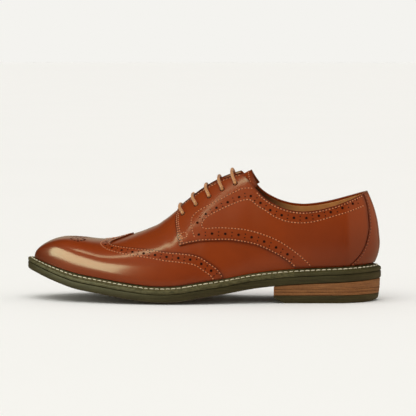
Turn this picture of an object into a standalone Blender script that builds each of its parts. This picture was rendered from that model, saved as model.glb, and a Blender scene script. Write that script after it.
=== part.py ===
"""Left wingtip brogue shoe, standing on heel and forefoot.

Metres, +Z up. The toe points to -X and the outer side to -Y. The origin lies on the
floor, under the middle of the shoe. Every piece follows one last: last_point(u, v)
gives its outer surface, where u runs from the toe (0) to the heel (1) and v from the
outer edge of the sole (-1) over the ridge (0) to the inner edge (+1).
"""

from collections import namedtuple

import bmesh
import bpy
import numpy as np
from mathutils import Vector

# Driving sizes of the shoe
SOLE_LENGTH = 0.302
BALL_WIDTH = 0.095
TOE_SPRING = 0.0196
HEEL_PITCH = 0.0168
INSTEP_RISE = 0.0895
COLLAR_BACK_RISE = 0.0614
HEEL_BULGE = 0.0044
HEEL_LEAN_ALONG = 0.72

# Walls and sheets
UPPER_WALL = 0.0020
OVERLAY_WALL = 0.0011
OVERLAY_BED = 0.00050
OVERLAY_FOOT = 0.985
TONGUE_WALL = 0.0024
GAP = 0.0003

# Facets of one half section of the upper, and the step to the row behind a sharp corner
SECTION_FACETS = 12
CORNER_STEP = 0.006

# Bottom of the shoe
WELT_REACH = 0.0068
WELT_THICKNESS = 0.0030
WELT_SLOPE = 0.0029
WELT_SEAT = 0.0028
OUTSOLE_THICKNESS = 0.0062
OUTSOLE_CROWN = 0.0022
OUTSOLE_ROUNDING = 0.0012
INSOLE_RAISE = 0.0010
TOP_LIFT_THICKNESS = 0.0066
LIFT_THICKNESS = 0.0023
LIFT_COUNT = 3
HEEL_TAPER = 0.0016
HEEL_INSET = 0.0024
HEEL_BREAST_ALONG = 0.709
HEEL_BREAST_CURVE = 0.0035
HEEL_BACK_BEVEL = 0.0026
HEEL_BEVEL_ALONG = 0.955
HEEL_FRONT_BEVEL = 0.0050
HEEL_FRONT_BEVEL_SHARE = 0.036

# Closing of the outline at toe and heel, as lengths of the quarter ellipses
TOE_CAP_LENGTH = 0.040
TOE_NOSE_LENGTH = 0.030
HEEL_CUP_LENGTH = 0.030

# Throat, eyelets, tongue and laces
THROAT_ALONG = 0.440
THROAT_SHIFT = 0.0020
FACING_GAP_FRONT = 0.0030
FACING_GAP_BACK = 0.0095
FACING_TOP_ALONG = 0.617
EYELET_ROWS = 5
FIRST_EYELET_ALONG = 0.445
LAST_EYELET_ALONG = 0.597
EYELET_REACH_FRONT = 0.0195
EYELET_REACH_BACK = 0.0180
EYELET_HOLE = 0.0048
LACE_DIAMETER = 0.0028
LACE_LANE = 0.0034
TONGUE_CURVE = 0.022
MEDIAL_COLLAR_LIFT = 0.0020

# Sections of the last, from toe to heel. Widths and heights are shares: lateral, medial,
# ridge and crown of BALL_WIDTH, spring of TOE_SPRING, pitch of HEEL_PITCH, rise of
# INSTEP_RISE, slope of WELT_SLOPE, hollow of OUTSOLE_CROWN. Bulge and shoulder are shares
# of the half width, low and high of the section's own height.
Section = namedtuple(
    "Section",
    "along lateral medial ridge spring pitch rise bulge low shoulder high crown slope hollow",
)
LAST = (
    Section(0.00, 0.200, 0.221, 0.042, 1.00, 0.00, 0.190, 0.06, 0.45, 1.00, 0.95, 0.24, 0.30, 0.5),
    Section(0.06, 0.268, 0.321, 0.042, 0.75, 0.00, 0.247, 0.06, 0.45, 1.00, 0.95, 0.24, 0.70, 0.7),
    Section(0.13, 0.337, 0.384, 0.042, 0.48, 0.00, 0.298, 0.06, 0.42, 0.98, 0.92, 0.24, 1.00, 0.9),
    Section(0.21, 0.419, 0.448, 0.044, 0.29, 0.00, 0.322, 0.07, 0.40, 0.95, 0.88, 0.24, 1.00, 1.0),
    Section(0.30, 0.482, 0.488, 0.050, 0.09, 0.00, 0.438, 0.07, 0.36, 0.89, 0.82, 0.23, 1.00, 1.2),
    Section(0.36, 0.505, 0.495, 0.052, 0.00, 0.00, 0.536, 0.07, 0.34, 0.83, 0.78, 0.20, 1.00, 1.2),
    Section(0.43, 0.505, 0.457, 0.046, 0.00, 0.02, 0.700, 0.07, 0.32, 0.73, 0.71, 0.15, 1.00, 1.2),
    Section(0.50, 0.474, 0.389, 0.034, 0.00, 0.20, 0.851, 0.08, 0.30, 0.68, 0.69, 0.13, 1.00, 0.9),
    Section(0.57, 0.421, 0.316, 0.024, 0.00, 0.37, 0.958, 0.11, 0.28, 0.70, 0.68, 0.13, 1.00, 0.5),
    Section(0.65, 0.366, 0.269, 0.016, 0.00, 0.61, 0.990, 0.16, 0.26, 0.83, 0.68, 0.17, 1.00, 0.2),
    Section(0.73, 0.324, 0.261, 0.010, 0.00, 0.76, 0.955, 0.20, 0.25, 0.96, 0.70, 0.22, 1.00, 0.0),
    Section(0.82, 0.305, 0.279, 0.005, 0.00, 0.86, 0.915, 0.21, 0.25, 1.00, 0.70, 0.25, 1.00, 0.0),
    Section(0.91, 0.290, 0.274, 0.000, 0.00, 0.93, 0.870, 0.20, 0.25, 1.00, 0.70, 0.24, 1.00, 0.0),
    Section(1.00, 0.236, 0.236, 0.000, 0.00, 1.00, 0.810, 0.18, 0.25, 1.00, 0.70, 0.20, 1.00, 0.0),
)

# Back curve of the heel: height as a share of COLLAR_BACK_RISE, reach of HEEL_BULGE.
BackPoint = namedtuple("BackPoint", "height reach")
HEEL_BACK = (
    BackPoint(0.00, 0.00),
    BackPoint(0.12, 0.68),
    BackPoint(0.25, 1.00),
    BackPoint(0.40, 0.89),
    BackPoint(0.60, 0.50),
    BackPoint(0.78, -0.20),
    BackPoint(0.95, -1.15),
    BackPoint(1.15, -2.60),
)

# Topline of the outer side: height over the feather line as a share of COLLAR_BACK_RISE.
CollarPoint = namedtuple("CollarPoint", "along height")
COLLAR = (
    CollarPoint(0.600, 1.480),
    CollarPoint(0.617, 1.375),
    CollarPoint(0.655, 1.176),
    CollarPoint(0.675, 1.072),
    CollarPoint(0.712, 0.933),
    CollarPoint(0.751, 0.845),
    CollarPoint(0.791, 0.805),
    CollarPoint(0.838, 0.814),
    CollarPoint(0.886, 0.855),
    CollarPoint(0.935, 0.917),
    CollarPoint(1.000, 1.000),
)

# Wing edge from the peak on the ridge to the welt: across is |v|.
EdgePoint = namedtuple("EdgePoint", "across along")
WING_EDGE = (
    EdgePoint(0.000, 0.300),
    EdgePoint(0.070, 0.290),
    EdgePoint(0.145, 0.268),
    EdgePoint(0.240, 0.244),
    EdgePoint(0.340, 0.255),
    EdgePoint(0.460, 0.309),
    EdgePoint(0.540, 0.362),
    EdgePoint(0.620, 0.412),
    EdgePoint(0.690, 0.458),
    EdgePoint(0.755, 0.504),
    EdgePoint(0.830, 0.537),
    EdgePoint(0.880, 0.556),
    EdgePoint(1.000, 0.585),
)

# Front edge of the quarter, from the ridge down to its corner.
QUARTER_FRONT = (
    EdgePoint(0.000, 0.434),
    EdgePoint(0.120, 0.431),
    EdgePoint(0.310, 0.427),
    EdgePoint(0.480, 0.436),
    EdgePoint(0.620, 0.449),
)

# Lower edge of the quarter, from its corner back to the welt.
QuarterPoint = namedtuple("QuarterPoint", "along across")
QUARTER_FOOT = (
    QuarterPoint(0.440, 0.605),
    QuarterPoint(0.499, 0.642),
    QuarterPoint(0.546, 0.665),
    QuarterPoint(0.593, 0.692),
    QuarterPoint(0.630, 0.722),
    QuarterPoint(0.664, 0.753),
    QuarterPoint(0.712, 0.803),
    QuarterPoint(0.761, 0.882),
    QuarterPoint(0.796, 0.980),
    QuarterPoint(0.805, 1.000),
    QuarterPoint(1.000, 1.000),
)

# Front edge of the back strip, from the topline down to the welt.
BACK_STRIP = (
    EdgePoint(0.250, 0.985),
    EdgePoint(0.358, 0.985),
    EdgePoint(0.456, 0.984),
    EdgePoint(0.564, 0.981),
    EdgePoint(0.664, 0.976),
    EdgePoint(0.769, 0.966),
    EdgePoint(0.850, 0.954),
    EdgePoint(0.917, 0.940),
    EdgePoint(1.000, 0.926),
)

# Tongue, from the vamp to its top: depth under the last's surface and reach from the ridge.
TonguePoint = namedtuple("TonguePoint", "along depth reach")
TONGUE = (
    TonguePoint(0.395, 0.0026, 0.012),
    TonguePoint(0.418, 0.0030, 0.015),
    TonguePoint(0.436, 0.0058, 0.018),
    TonguePoint(0.520, 0.0058, 0.024),
    TonguePoint(0.600, 0.0058, 0.027),
    TonguePoint(0.625, 0.0038, 0.026),
    TonguePoint(0.640, 0.0028, 0.023),
)

# Half of a lace bar: distance behind the eyelet, measured from the ridge outwards, and
# height over the upper as a share of the lace's own when it lies on the quarter.
BendPoint = namedtuple("BendPoint", "shift height")
LACE_BEND = (
    BendPoint(-0.0002, 0.90),
    BendPoint(-0.0018, 1.22),
    BendPoint(-0.0060, 1.26),
    BendPoint(-0.0125, 1.22),
)

# Half of a hidden lace run: distance from its eyelet as a share of one eyelet pitch, depth
# as a share of the lace's own under the upper, and bow as a share of LACE_LANE.
LanePoint = namedtuple("LanePoint", "share depth bow")
LACE_RUN = (LanePoint(0.04, 0.88, 0.0), LanePoint(0.24, 1.06, 0.35))
RUN_DEPTH = 1.06

LAST_LENGTH = SOLE_LENGTH - 2 * WELT_REACH
TOE_X = -LAST_LENGTH / 2
BALL_FEATHER = OUTSOLE_CROWN + OUTSOLE_THICKNESS + WELT_THICKNESS + WELT_SLOPE + 2 * GAP


def smooth_column(rows, column, at):
    """Cubic curve through one column of a table, straight beyond its ends."""
    at = np.asarray(at, dtype=float)
    x = np.array([row[0] for row in rows])
    y = np.array([getattr(row, column) for row in rows])
    step = np.diff(x)
    rate = np.diff(y) / step
    slope = np.empty(len(x))
    slope[1:-1] = (rate[:-1] * step[1:] + rate[1:] * step[:-1]) / (step[:-1] + step[1:])
    slope[0], slope[-1] = rate[0], rate[-1]
    i = np.clip(np.searchsorted(x, at) - 1, 0, len(x) - 2)
    t = np.clip((at - x[i]) / step[i], 0, 1)
    inside = (
        (2 * t**3 - 3 * t**2 + 1) * y[i]
        + (t**3 - 2 * t**2 + t) * step[i] * slope[i]
        + (3 * t**2 - 2 * t**3) * y[i + 1]
        + (t**3 - t**2) * step[i] * slope[i + 1]
    )
    before = np.minimum(at - x[0], 0) * slope[0]
    after = np.maximum(at - x[-1], 0) * slope[-1]
    return inside + before + after


def ellipse_end(distance, length):
    """0 at the tip, 1 from length onwards, along a quarter ellipse."""
    return np.sqrt(1 - (1 - np.clip(distance / length, 0, 1)) ** 2)


def along_of(u):
    """Share of the last's length at station u, which runs like an angle round the ends."""
    return (1 - np.cos(np.pi * np.clip(u, 0, 1))) / 2


def station_of(along):
    """Station u at a share of the last's length."""
    return np.arccos(1 - 2 * np.clip(along, 0, 1)) / np.pi


def along_of_x(x):
    """Share of the last's length at a place x on the floor."""
    return (x - TOE_X) / LAST_LENGTH


def feather_height(along):
    """Height of the line where the upper meets the welt."""
    spring = smooth_column(LAST, "spring", along)
    pitch = smooth_column(LAST, "pitch", along)
    return BALL_FEATHER + spring * TOE_SPRING + pitch * HEEL_PITCH


def width_share(along):
    """1 along most of the last, falling to 0 at both tips."""
    toe = ellipse_end(along * LAST_LENGTH, TOE_CAP_LENGTH)
    heel = ellipse_end((1 - along) * LAST_LENGTH, HEEL_CUP_LENGTH)
    return toe * heel


def feather_plan(u, side):
    """Plan points of the feather line: side is -1 for the outer side, +1 for the inner."""
    along = along_of(u)
    ridge = smooth_column(LAST, "ridge", along)
    half = np.where(
        np.asarray(side) < 0,
        smooth_column(LAST, "lateral", along) + ridge,
        smooth_column(LAST, "medial", along) - ridge,
    )
    y = (ridge + side * half * width_share(along)) * BALL_WIDTH
    return np.stack(np.broadcast_arrays(TOE_X + along * LAST_LENGTH, y), axis=-1)


def last_point(u, v):
    """Outer surface of the upper, a quartic Bezier section from feather to ridge."""
    u, v = np.broadcast_arrays(np.asarray(u, float), np.asarray(v, float))
    side = np.where(v < 0, -1.0, 1.0)
    t = np.abs(v)
    along = along_of(u)
    plan = feather_plan(u, side)
    closing = width_share(along)
    ridge_y = smooth_column(LAST, "ridge", along) * BALL_WIDTH
    half = plan[..., 1] - ridge_y
    base = feather_height(along)
    nose = ellipse_end(along * LAST_LENGTH, TOE_NOSE_LENGTH)
    rise = smooth_column(LAST, "rise", along) * INSTEP_RISE * nose
    crown = side * smooth_column(LAST, "crown", along) * BALL_WIDTH * closing
    control_y = (
        half,
        half * (1 + smooth_column(LAST, "bulge", along)),
        half * smooth_column(LAST, "shoulder", along),
        crown,
        0 * half,
    )
    control_z = (
        0 * rise,
        rise * smooth_column(LAST, "low", along),
        rise * smooth_column(LAST, "high", along),
        rise,
        rise,
    )
    weights = (t**4, 4 * t**3 * (1 - t), 6 * t**2 * (1 - t) ** 2, 4 * t * (1 - t) ** 3, (1 - t) ** 4)
    y = ridge_y + sum(w * c for w, c in zip(weights, control_y))
    height = sum(w * c for w, c in zip(weights, control_z))
    pull = np.clip((along - HEEL_LEAN_ALONG) / (1 - HEEL_LEAN_ALONG), 0, 1) ** 2
    lean = smooth_column(HEEL_BACK, "reach", height / COLLAR_BACK_RISE) * HEEL_BULGE
    return np.stack([plan[..., 0] + pull * lean, y, base + height], axis=-1)


def last_normal(u, v):
    """Unit normal of the outer surface, pointing away from the foot."""
    u, v = np.broadcast_arrays(np.asarray(u, float), np.asarray(v, float))
    du, dv = 1e-4, 1e-4
    middle = np.clip(u, 2e-3, 1 - du)
    low, high = middle - du, middle + du
    across = last_point(middle, np.clip(v + dv, -1, 1)) - last_point(middle, np.clip(v - dv, -1, 1))
    forward = last_point(high, v) - last_point(low, v)
    normal = np.cross(forward, across)
    normal[u <= 0] = (-1.0, 0.0, 0.0)
    normal[u >= 1, 1] = 0.0
    length = np.linalg.norm(normal, axis=-1, keepdims=True)
    return normal / np.maximum(length, 1e-12)


def skin(u, v, out):
    """A point at the distance out over the outer surface (negative is inside)."""
    return last_point(u, v) + np.asarray(out)[..., None] * last_normal(u, v)


def across_at_reach(u, side, reach):
    """|v| at a distance from the ridge, measured over the leather."""
    steps = np.linspace(0, 1, 81)
    found = []
    for station, distance in zip(*np.broadcast_arrays(np.atleast_1d(u), reach)):
        points = last_point(station, side * steps)
        length = np.append(0, np.linalg.norm(np.diff(points, axis=0), axis=1).cumsum())
        found.append(np.interp(distance, length, steps))
    return np.array(found)


def across_at_height(u, side, height):
    """|v| at a height over the floor."""
    steps = np.linspace(0, 1, 81)
    found = []
    for station, level in zip(*np.broadcast_arrays(np.atleast_1d(u), height)):
        heights = last_point(station, side * steps)[:, 2]
        found.append(np.interp(-level, -heights, steps))
    return np.array(found)


def quarter_top(u, side):
    """|v| of the facing's edge and, behind it, of the topline."""
    u = np.atleast_1d(u)
    along = along_of(u)
    slot = np.clip((along - THROAT_ALONG) / (FACING_TOP_ALONG - THROAT_ALONG), 0, 1)
    opening = FACING_GAP_FRONT + (FACING_GAP_BACK - FACING_GAP_FRONT) * slot
    facing = across_at_reach(u, side, opening - side * THROAT_SHIFT)
    behind = np.clip((along - FACING_TOP_ALONG) / (1 - FACING_TOP_ALONG), 0, 1)
    lift = max(side, 0) * MEDIAL_COLLAR_LIFT * np.sin(np.pi * behind)
    level = smooth_column(COLLAR, "height", along) * COLLAR_BACK_RISE + lift
    collar = across_at_height(u, side, feather_height(along) + level)
    return np.where(along < COLLAR[0].along, facing, np.maximum(facing, collar))


def top_edge(u, side):
    """|v| of the upper's open edge: the ridge itself up to the throat."""
    return np.where(along_of(np.atleast_1d(u)) <= THROAT_ALONG, 0.0, quarter_top(u, side))


def outline(u, side, reach):
    """Plan points at a reach outside the feather line (negative is inside)."""
    du = 1e-4
    middle = np.clip(u, du, 1 - du)
    tangent = feather_plan(middle + du, side) - feather_plan(middle - du, side)
    outward = np.stack([-tangent[..., 1], tangent[..., 0]], axis=-1) * np.asarray(side)[..., None]
    outward[u <= 0] = (-1.0, 0.0)
    outward[u >= 1] = (1.0, 0.0)
    outward /= np.linalg.norm(outward, axis=-1, keepdims=True)
    return feather_plan(u, side) + reach * outward


def welt_bottom(along):
    """Height of the welt's flat underside."""
    slope = np.clip(smooth_column(LAST, "slope", along), LAST[0].slope, 1)
    return feather_height(along) - GAP - slope * WELT_SLOPE - WELT_THICKNESS


def outsole_foot(along):
    """Height of the outsole's lower edge."""
    return welt_bottom(along) - GAP - OUTSOLE_THICKNESS


# Meshes


def grid_faces(index):
    """Quads over a grid of vertex numbers."""
    return np.stack(
        [index[:-1, :-1], index[1:, :-1], index[1:, 1:], index[:-1, 1:]], axis=-1
    ).reshape(-1, 4)


def make_material(name, colour, roughness):
    """A plain leather, rubber or cord finish."""
    material = bpy.data.materials.new(name)
    material.use_nodes = True
    shader = material.node_tree.nodes["Principled BSDF"]
    shader.inputs["Base Color"].default_value = (*colour, 1.0)
    shader.inputs["Roughness"].default_value = roughness
    shader.inputs["Metallic"].default_value = 0.0
    material.diffuse_color = (*colour, 1.0)
    return material


def make_solid(name, points, faces, material, sharp=35.0):
    """A closed solid from vertices and faces. Points that coincide become one."""
    mesh = bpy.data.meshes.new(name)
    mesh.from_pydata(np.asarray(points).tolist(), [], np.asarray(faces).tolist())
    shape = bmesh.new()
    shape.from_mesh(mesh)
    bmesh.ops.remove_doubles(shape, verts=shape.verts, dist=1e-6)
    bmesh.ops.dissolve_degenerate(shape, edges=shape.edges, dist=1e-6)
    unused = [vertex for vertex in shape.verts if not vertex.link_faces]
    bmesh.ops.delete(shape, geom=unused, context="VERTS")
    bmesh.ops.recalc_face_normals(shape, faces=shape.faces)
    shape.to_mesh(mesh)
    shape.free()
    mesh.materials.append(material)
    mesh.shade_smooth()
    mesh.set_sharp_from_angle(angle=np.radians(sharp))
    piece = bpy.data.objects.new(name, mesh)
    bpy.context.scene.collection.objects.link(piece)
    return piece


def make_sheet(name, layers, material):
    """Solid between the first and last of several grids, through the borders of all."""
    rows, columns = layers[0].shape[:2]
    count = rows * columns
    index = [np.arange(count).reshape(rows, columns) + count * i for i in range(len(layers))]
    faces = [grid_faces(index[0]), grid_faces(index[-1])[:, ::-1]]
    for above, below in zip(index, index[1:]):
        for line, other in (
            (above[0], below[0]),
            (below[-1], above[-1]),
            (below[:, 0], above[:, 0]),
            (above[:, -1], below[:, -1]),
        ):
            faces.append(grid_faces(np.stack([line, other])))
    points = np.concatenate([layer.reshape(-1, 3) for layer in layers])
    return make_solid(name, points, np.concatenate(faces), material)


def make_ring(name, loops, material):
    """Solid swept round a closed route: loops is route by section by 3, both closed."""
    rows, columns = loops.shape[:2]
    index = np.arange(rows * columns).reshape(rows, columns)
    index = np.concatenate([index, index[:1]])
    index = np.concatenate([index, index[:, :1]], axis=1)
    return make_solid(name, loops.reshape(-1, 3), grid_faces(index), material)


def stations(first, last, count, *extra):
    """Stations from first to last, even in u, with extra ones in place of those near them."""
    even = np.linspace(first, last, count)
    keep = [u for u in even if all(abs(u - e) > 0.4 * (even[1] - even[0]) for e in extra)]
    return np.unique(np.concatenate([keep, extra]))


# Upper


def upper_stations():
    """Stations of the upper's facets, closer at the throat and the facing's top."""
    throat = station_of(THROAT_ALONG)
    corner = station_of(FACING_TOP_ALONG)
    behind = corner + 2 * CORNER_STEP
    return stations(0.0, 1.0, 32, throat, throat + CORNER_STEP, corner, behind)


def make_upper(material):
    """Hollow wall: two half grids that share the ridge in front of the throat."""
    rows = upper_stations()
    shares = np.append(np.linspace(0, OVERLAY_FOOT, SECTION_FACETS + 1), 1.0)
    points, faces = [], []
    for side in (-1, 1):
        edge = top_edge(rows, side)
        v = side * (edge[:, None] + (1 - edge[:, None]) * shares)
        u = np.broadcast_to(rows[:, None], v.shape)
        start = sum(len(part) for part in points)
        outer = np.arange(v.size).reshape(v.shape) + start
        inner = outer + v.size
        points += [skin(u, v, 0.0).reshape(-1, 3), skin(u, v, -UPPER_WALL).reshape(-1, 3)]
        faces += [grid_faces(outer), grid_faces(inner)[:, ::-1]]
        faces.append(grid_faces(np.stack([outer[:, -1], inner[:, -1]])))
        open_rows = np.flatnonzero(edge > 0)[0] - 1
        faces.append(grid_faces(np.stack([outer[open_rows:, 0], inner[open_rows:, 0]])))
    return make_solid("upper", np.concatenate(points), np.concatenate(faces), material)


def overlay_layers(u, v):
    """Outer and inner grid of a sheet laid on the upper."""
    return [skin(u, v, OVERLAY_BED + OVERLAY_WALL), skin(u, v, OVERLAY_BED)]


def make_wing_cap(material):
    """Toe cap with wings: the upper's own facets, trimmed at the wing edge."""
    v = np.linspace(-OVERLAY_FOOT, OVERLAY_FOOT, 2 * SECTION_FACETS + 1)[None, :]
    edge = station_of(smooth_column(WING_EDGE, "along", np.abs(v)))
    rows = upper_stations()
    u = np.minimum(rows[rows < edge.max()], edge.T).T
    u, v = np.broadcast_arrays(np.concatenate([u, edge]), v)
    return make_sheet("wing_cap", overlay_layers(u, v), material)


def make_quarter(name, side, material):
    """Facing and quarter of one side, between four edges that depend on each other."""
    a, b = np.meshgrid(np.linspace(0, 1, 26), np.linspace(0, 1, 10) ** 1.25, indexing="ij")
    v = 0.2 + 0.6 * b  # a first guess, which the rounds below correct
    clearance = 2 * GAP / LAST_LENGTH
    for _ in range(6):
        front = smooth_column(QUARTER_FRONT, "along", v)
        back = smooth_column(BACK_STRIP, "along", v) - clearance
        u = station_of(front + (back - front) * a)
        top = quarter_top(u.ravel(), side).reshape(u.shape)
        foot = np.minimum(smooth_column(QUARTER_FOOT, "across", along_of(u)), OVERLAY_FOOT)
        v = top + (foot - top) * b
    return make_sheet(name, overlay_layers(u, side * v), material)


def make_back_strip(material):
    """Strip round the heel's back line, wider at its foot."""
    shares = np.linspace(-1, 1, 15)
    level = np.linspace(0, 1, 11)[:, None]
    side = np.where(shares < 0, -1.0, 1.0)[None, :]
    v = 0.4 + 0.5 * level * np.ones((1, len(shares)))  # a first guess, as for the quarters
    for _ in range(6):
        front = station_of(smooth_column(BACK_STRIP, "along", v))
        u = 1 - (1 - front) * np.abs(shares)[None, :]
        top = np.where(
            side < 0,
            quarter_top(u.ravel(), -1).reshape(u.shape),
            quarter_top(u.ravel(), 1).reshape(u.shape),
        )
        v = top + (OVERLAY_FOOT - top) * level
    return make_sheet("back_strip", overlay_layers(u, side * v), material)


# Inside and bottom


def make_tongue(material):
    """Sheet under the throat: its rows are the table's and one between each two of them."""
    knots = [point.along for point in TONGUE]
    halves = np.arange(2 * len(knots) - 1) / 2
    along = np.interp(halves, np.arange(len(knots)), knots)
    shares = np.linspace(-1, 1, 11)
    reach = smooth_column(TONGUE, "reach", along)
    depth = smooth_column(TONGUE, "depth", along)[:, None] * np.ones((1, len(shares)))
    top = (along - LAST_EYELET_ALONG) / (TONGUE[-1].along - LAST_EYELET_ALONG)
    backward = TONGUE_CURVE * np.clip(top, 0, 1)[:, None]
    u = station_of(along[:, None] + backward * shares[None, :] ** 2)
    v = np.empty(u.shape)
    for j, share in enumerate(shares):
        side = -1 if share < 0 else 1
        middle = reach * abs(share) * (1 - side * THROAT_SHIFT / reach)
        v[:, j] = side * across_at_reach(u[:, j], side, middle)
    layers = [skin(u, v, -depth), skin(u, v, -depth - TONGUE_WALL)]
    return make_sheet("tongue", layers, material)


def cap_grid(u, shares, reach):
    """Plan grid between both sides of the outline, collapsing at its tips."""
    lateral = outline(u, -1, reach)[:, None]
    medial = outline(u, 1, reach)[:, None]
    share = (shares[None, :, None] + 1) / 2
    return lateral * (1 - share) + medial * share


def raised(plan, height):
    """Plan grid with heights."""
    return np.concatenate([plan, np.broadcast_to(height, plan.shape[:-1])[..., None]], axis=-1)


def make_insole(material):
    """Footbed with its filler, from the top of the outsole up into the upper."""
    plan = cap_grid(np.linspace(0, 1, 26), np.linspace(-1, 1, 5), -WELT_SEAT - GAP)
    along = along_of_x(plan[..., 0])
    top = feather_height(along) + INSOLE_RAISE
    return make_sheet("insole", [raised(plan, top), raised(plan, welt_bottom(along))], material)


def make_welt(material):
    """Strip round the sole: its seat lies under the upper, its top slants outwards."""
    u = np.linspace(0, 1, 37)
    route = [(station, -1) for station in u] + [(station, 1) for station in u[-2:0:-1]]
    stations_of_route = np.array([station for station, _ in route])
    sides = np.array([side for _, side in route])
    corners = (
        (-WELT_SEAT, 0.0, 0.0),
        (WELT_REACH, 0.0, 0.0),
        (WELT_REACH, WELT_THICKNESS, 0.0),
        (GAP, WELT_THICKNESS, 1.0),
        (-WELT_SEAT, WELT_THICKNESS, 1.0),
    )
    section = []
    for reach, height, slant in corners:
        plan = outline(stations_of_route, sides, reach)
        along = along_of_x(plan[:, 0])
        slope = slant * (feather_height(along) - GAP - WELT_THICKNESS - welt_bottom(along))
        section.append(raised(plan, welt_bottom(along) + height + slope))
    return make_ring("welt", np.stack(section, axis=1), material)


def make_outsole(material):
    """Full sole: crowned under the ball, where its lowest part is flat on the floor."""
    u = np.linspace(0, 1, 32)
    shares = np.linspace(-1, 1, 9)
    plan = cap_grid(u, shares, WELT_REACH)
    along = along_of_x(plan[..., 0])
    foot_plan = cap_grid(u, shares, WELT_REACH - OUTSOLE_ROUNDING)
    foot_along = along_of_x(foot_plan[..., 0])
    hollow = np.clip(smooth_column(LAST, "hollow", foot_along), 0, None)
    hollow = hollow * width_share(along_of(u))[:, None]
    crown = OUTSOLE_CROWN * hollow * (1 - np.abs(shares[None, :]) ** 3)
    layers = [
        raised(plan, welt_bottom(along) - GAP),
        raised(plan, outsole_foot(along) + OUTSOLE_ROUNDING),
        raised(foot_plan, np.maximum(outsole_foot(foot_along) - crown, 0)),
    ]
    return make_sheet("outsole", layers, material)


def heel_plan(height):
    """Plan grid of the heel at a height, with its hollow breast."""
    stack = outsole_foot(HEEL_BREAST_ALONG)
    reach = WELT_REACH - HEEL_INSET + HEEL_TAPER * height / stack
    first = station_of(HEEL_BREAST_ALONG)
    shares = np.linspace(-1, 1, 5)
    plan = cap_grid(first + (1 - first) * np.linspace(0, 1, 14), shares, reach)
    away = np.clip((along_of_x(plan[..., 0]) - HEEL_BREAST_ALONG) / (1 - HEEL_BREAST_ALONG), 0, 1)
    plan[..., 0] += HEEL_BREAST_CURVE * (1 - shares**2) * (1 - away) ** 2
    return plan


def make_heel(leather, rubber):
    """Stacked lifts from the outsole down, the first a wedge, and the top lift."""
    level = TOP_LIFT_THICKNESS
    lifts = []
    for number in range(LIFT_COUNT, 0, -1):
        level += GAP
        foot = heel_plan(level)
        below = raised(foot, level)
        level += LIFT_THICKNESS
        head = heel_plan(level)
        wedge = outsole_foot(along_of_x(head[..., 0])) - GAP
        above = raised(head, wedge if number == 1 else level)
        lifts.append(make_sheet(f"heel_lift_{number}", [above, below], leather))
    foot = heel_plan(0.0)
    along = along_of_x(foot[..., 0])
    behind = 1 + WELT_REACH / LAST_LENGTH
    back = np.clip((along - HEEL_BEVEL_ALONG) / (behind - HEEL_BEVEL_ALONG), 0, 1)
    front = np.clip(1 - (along - HEEL_BREAST_ALONG) / HEEL_FRONT_BEVEL_SHARE, 0, 1)
    lifted = HEEL_BACK_BEVEL * back**2 + HEEL_FRONT_BEVEL * front
    layers = [raised(heel_plan(TOP_LIFT_THICKNESS), TOP_LIFT_THICKNESS), raised(foot, lifted)]
    return lifts + [make_sheet("top_lift", layers, rubber)]


# Eyelets and laces


def eyelet_along(row):
    """Share of the length at an eyelet row: 0 is the front one."""
    return FIRST_EYELET_ALONG + (LAST_EYELET_ALONG - FIRST_EYELET_ALONG) * row / (EYELET_ROWS - 1)


def facing_point(along, side, shift, out):
    """Point at the eyelet line of one side, shifted away from the ridge, over the surface."""
    share = (along - FIRST_EYELET_ALONG) / (LAST_EYELET_ALONG - FIRST_EYELET_ALONG)
    reach = EYELET_REACH_FRONT + (EYELET_REACH_BACK - EYELET_REACH_FRONT) * share
    u = station_of(along)
    v = side * across_at_reach(u, side, reach - side * THROAT_SHIFT + shift)[0]
    return skin(u, v, out)


def cut_eyelets(pieces):
    """Punches the ten lace holes through the upper and the quarters."""
    for side in (-1, 1):
        for row in range(EYELET_ROWS):
            high = facing_point(eyelet_along(row), side, 0.0, 2 * EYELET_HOLE)
            low = facing_point(eyelet_along(row), side, 0.0, -EYELET_HOLE)
            cutter = bmesh.new()
            bmesh.ops.create_cone(
                cutter,
                cap_ends=True,
                segments=12,
                radius1=EYELET_HOLE / 2,
                radius2=EYELET_HOLE / 2,
                depth=float(np.linalg.norm(high - low)),
            )
            mesh = bpy.data.meshes.new(f"punch_{row}_{side}")
            cutter.to_mesh(mesh)
            cutter.free()
            punch = bpy.data.objects.new(mesh.name, mesh)
            punch.location = Vector((high + low) / 2)
            punch.rotation_euler = Vector(high - low).to_track_quat("Z", "Y").to_euler()
            punch.hide_render = True
            punch.display_type = "WIRE"
            bpy.context.scene.collection.objects.link(punch)
            for piece in pieces[side]:
                hole = piece.modifiers.new(f"eyelet_{row}_{side}", "BOOLEAN")
                hole.operation = "DIFFERENCE"
                hole.object = punch


def lace_bar(row, side):
    """Route over the facings from one eyelet of a row to the other."""
    along = eyelet_along(row)
    over = OVERLAY_BED + OVERLAY_WALL + GAP + LACE_DIAMETER / 2
    route = [facing_point(along, side, 0.0, 0.5 * over)]
    for shift, height in LACE_BEND:
        route.append(facing_point(along, side, shift, height * over))
    for shift, height in LACE_BEND[::-1]:
        route.append(facing_point(along, -side, shift, height * over))
    return route + [facing_point(along, -side, 0.0, 0.5 * over)]


def lace_lane(side, first, last, shift):
    """Route under the facing from one eyelet to another, bowed past those between."""
    start, stop = eyelet_along(first), eyelet_along(last)
    under = -UPPER_WALL - GAP - LACE_DIAMETER / 2
    rows = abs(last - first)
    out = [(point.share / rows, point.depth, point.bow) for point in LACE_RUN]
    back = [(1 - share, depth, bow) for share, depth, bow in out[::-1]]
    route = [facing_point(start, side, 0.0, -0.5 * UPPER_WALL)]
    for share, depth, bow in out + [(0.5, RUN_DEPTH, 1.0)] + back:
        along = start + (stop - start) * share
        route.append(facing_point(along, side, shift * bow, depth * under))
    return route + [facing_point(stop, side, 0.0, -0.5 * UPPER_WALL)]


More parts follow.
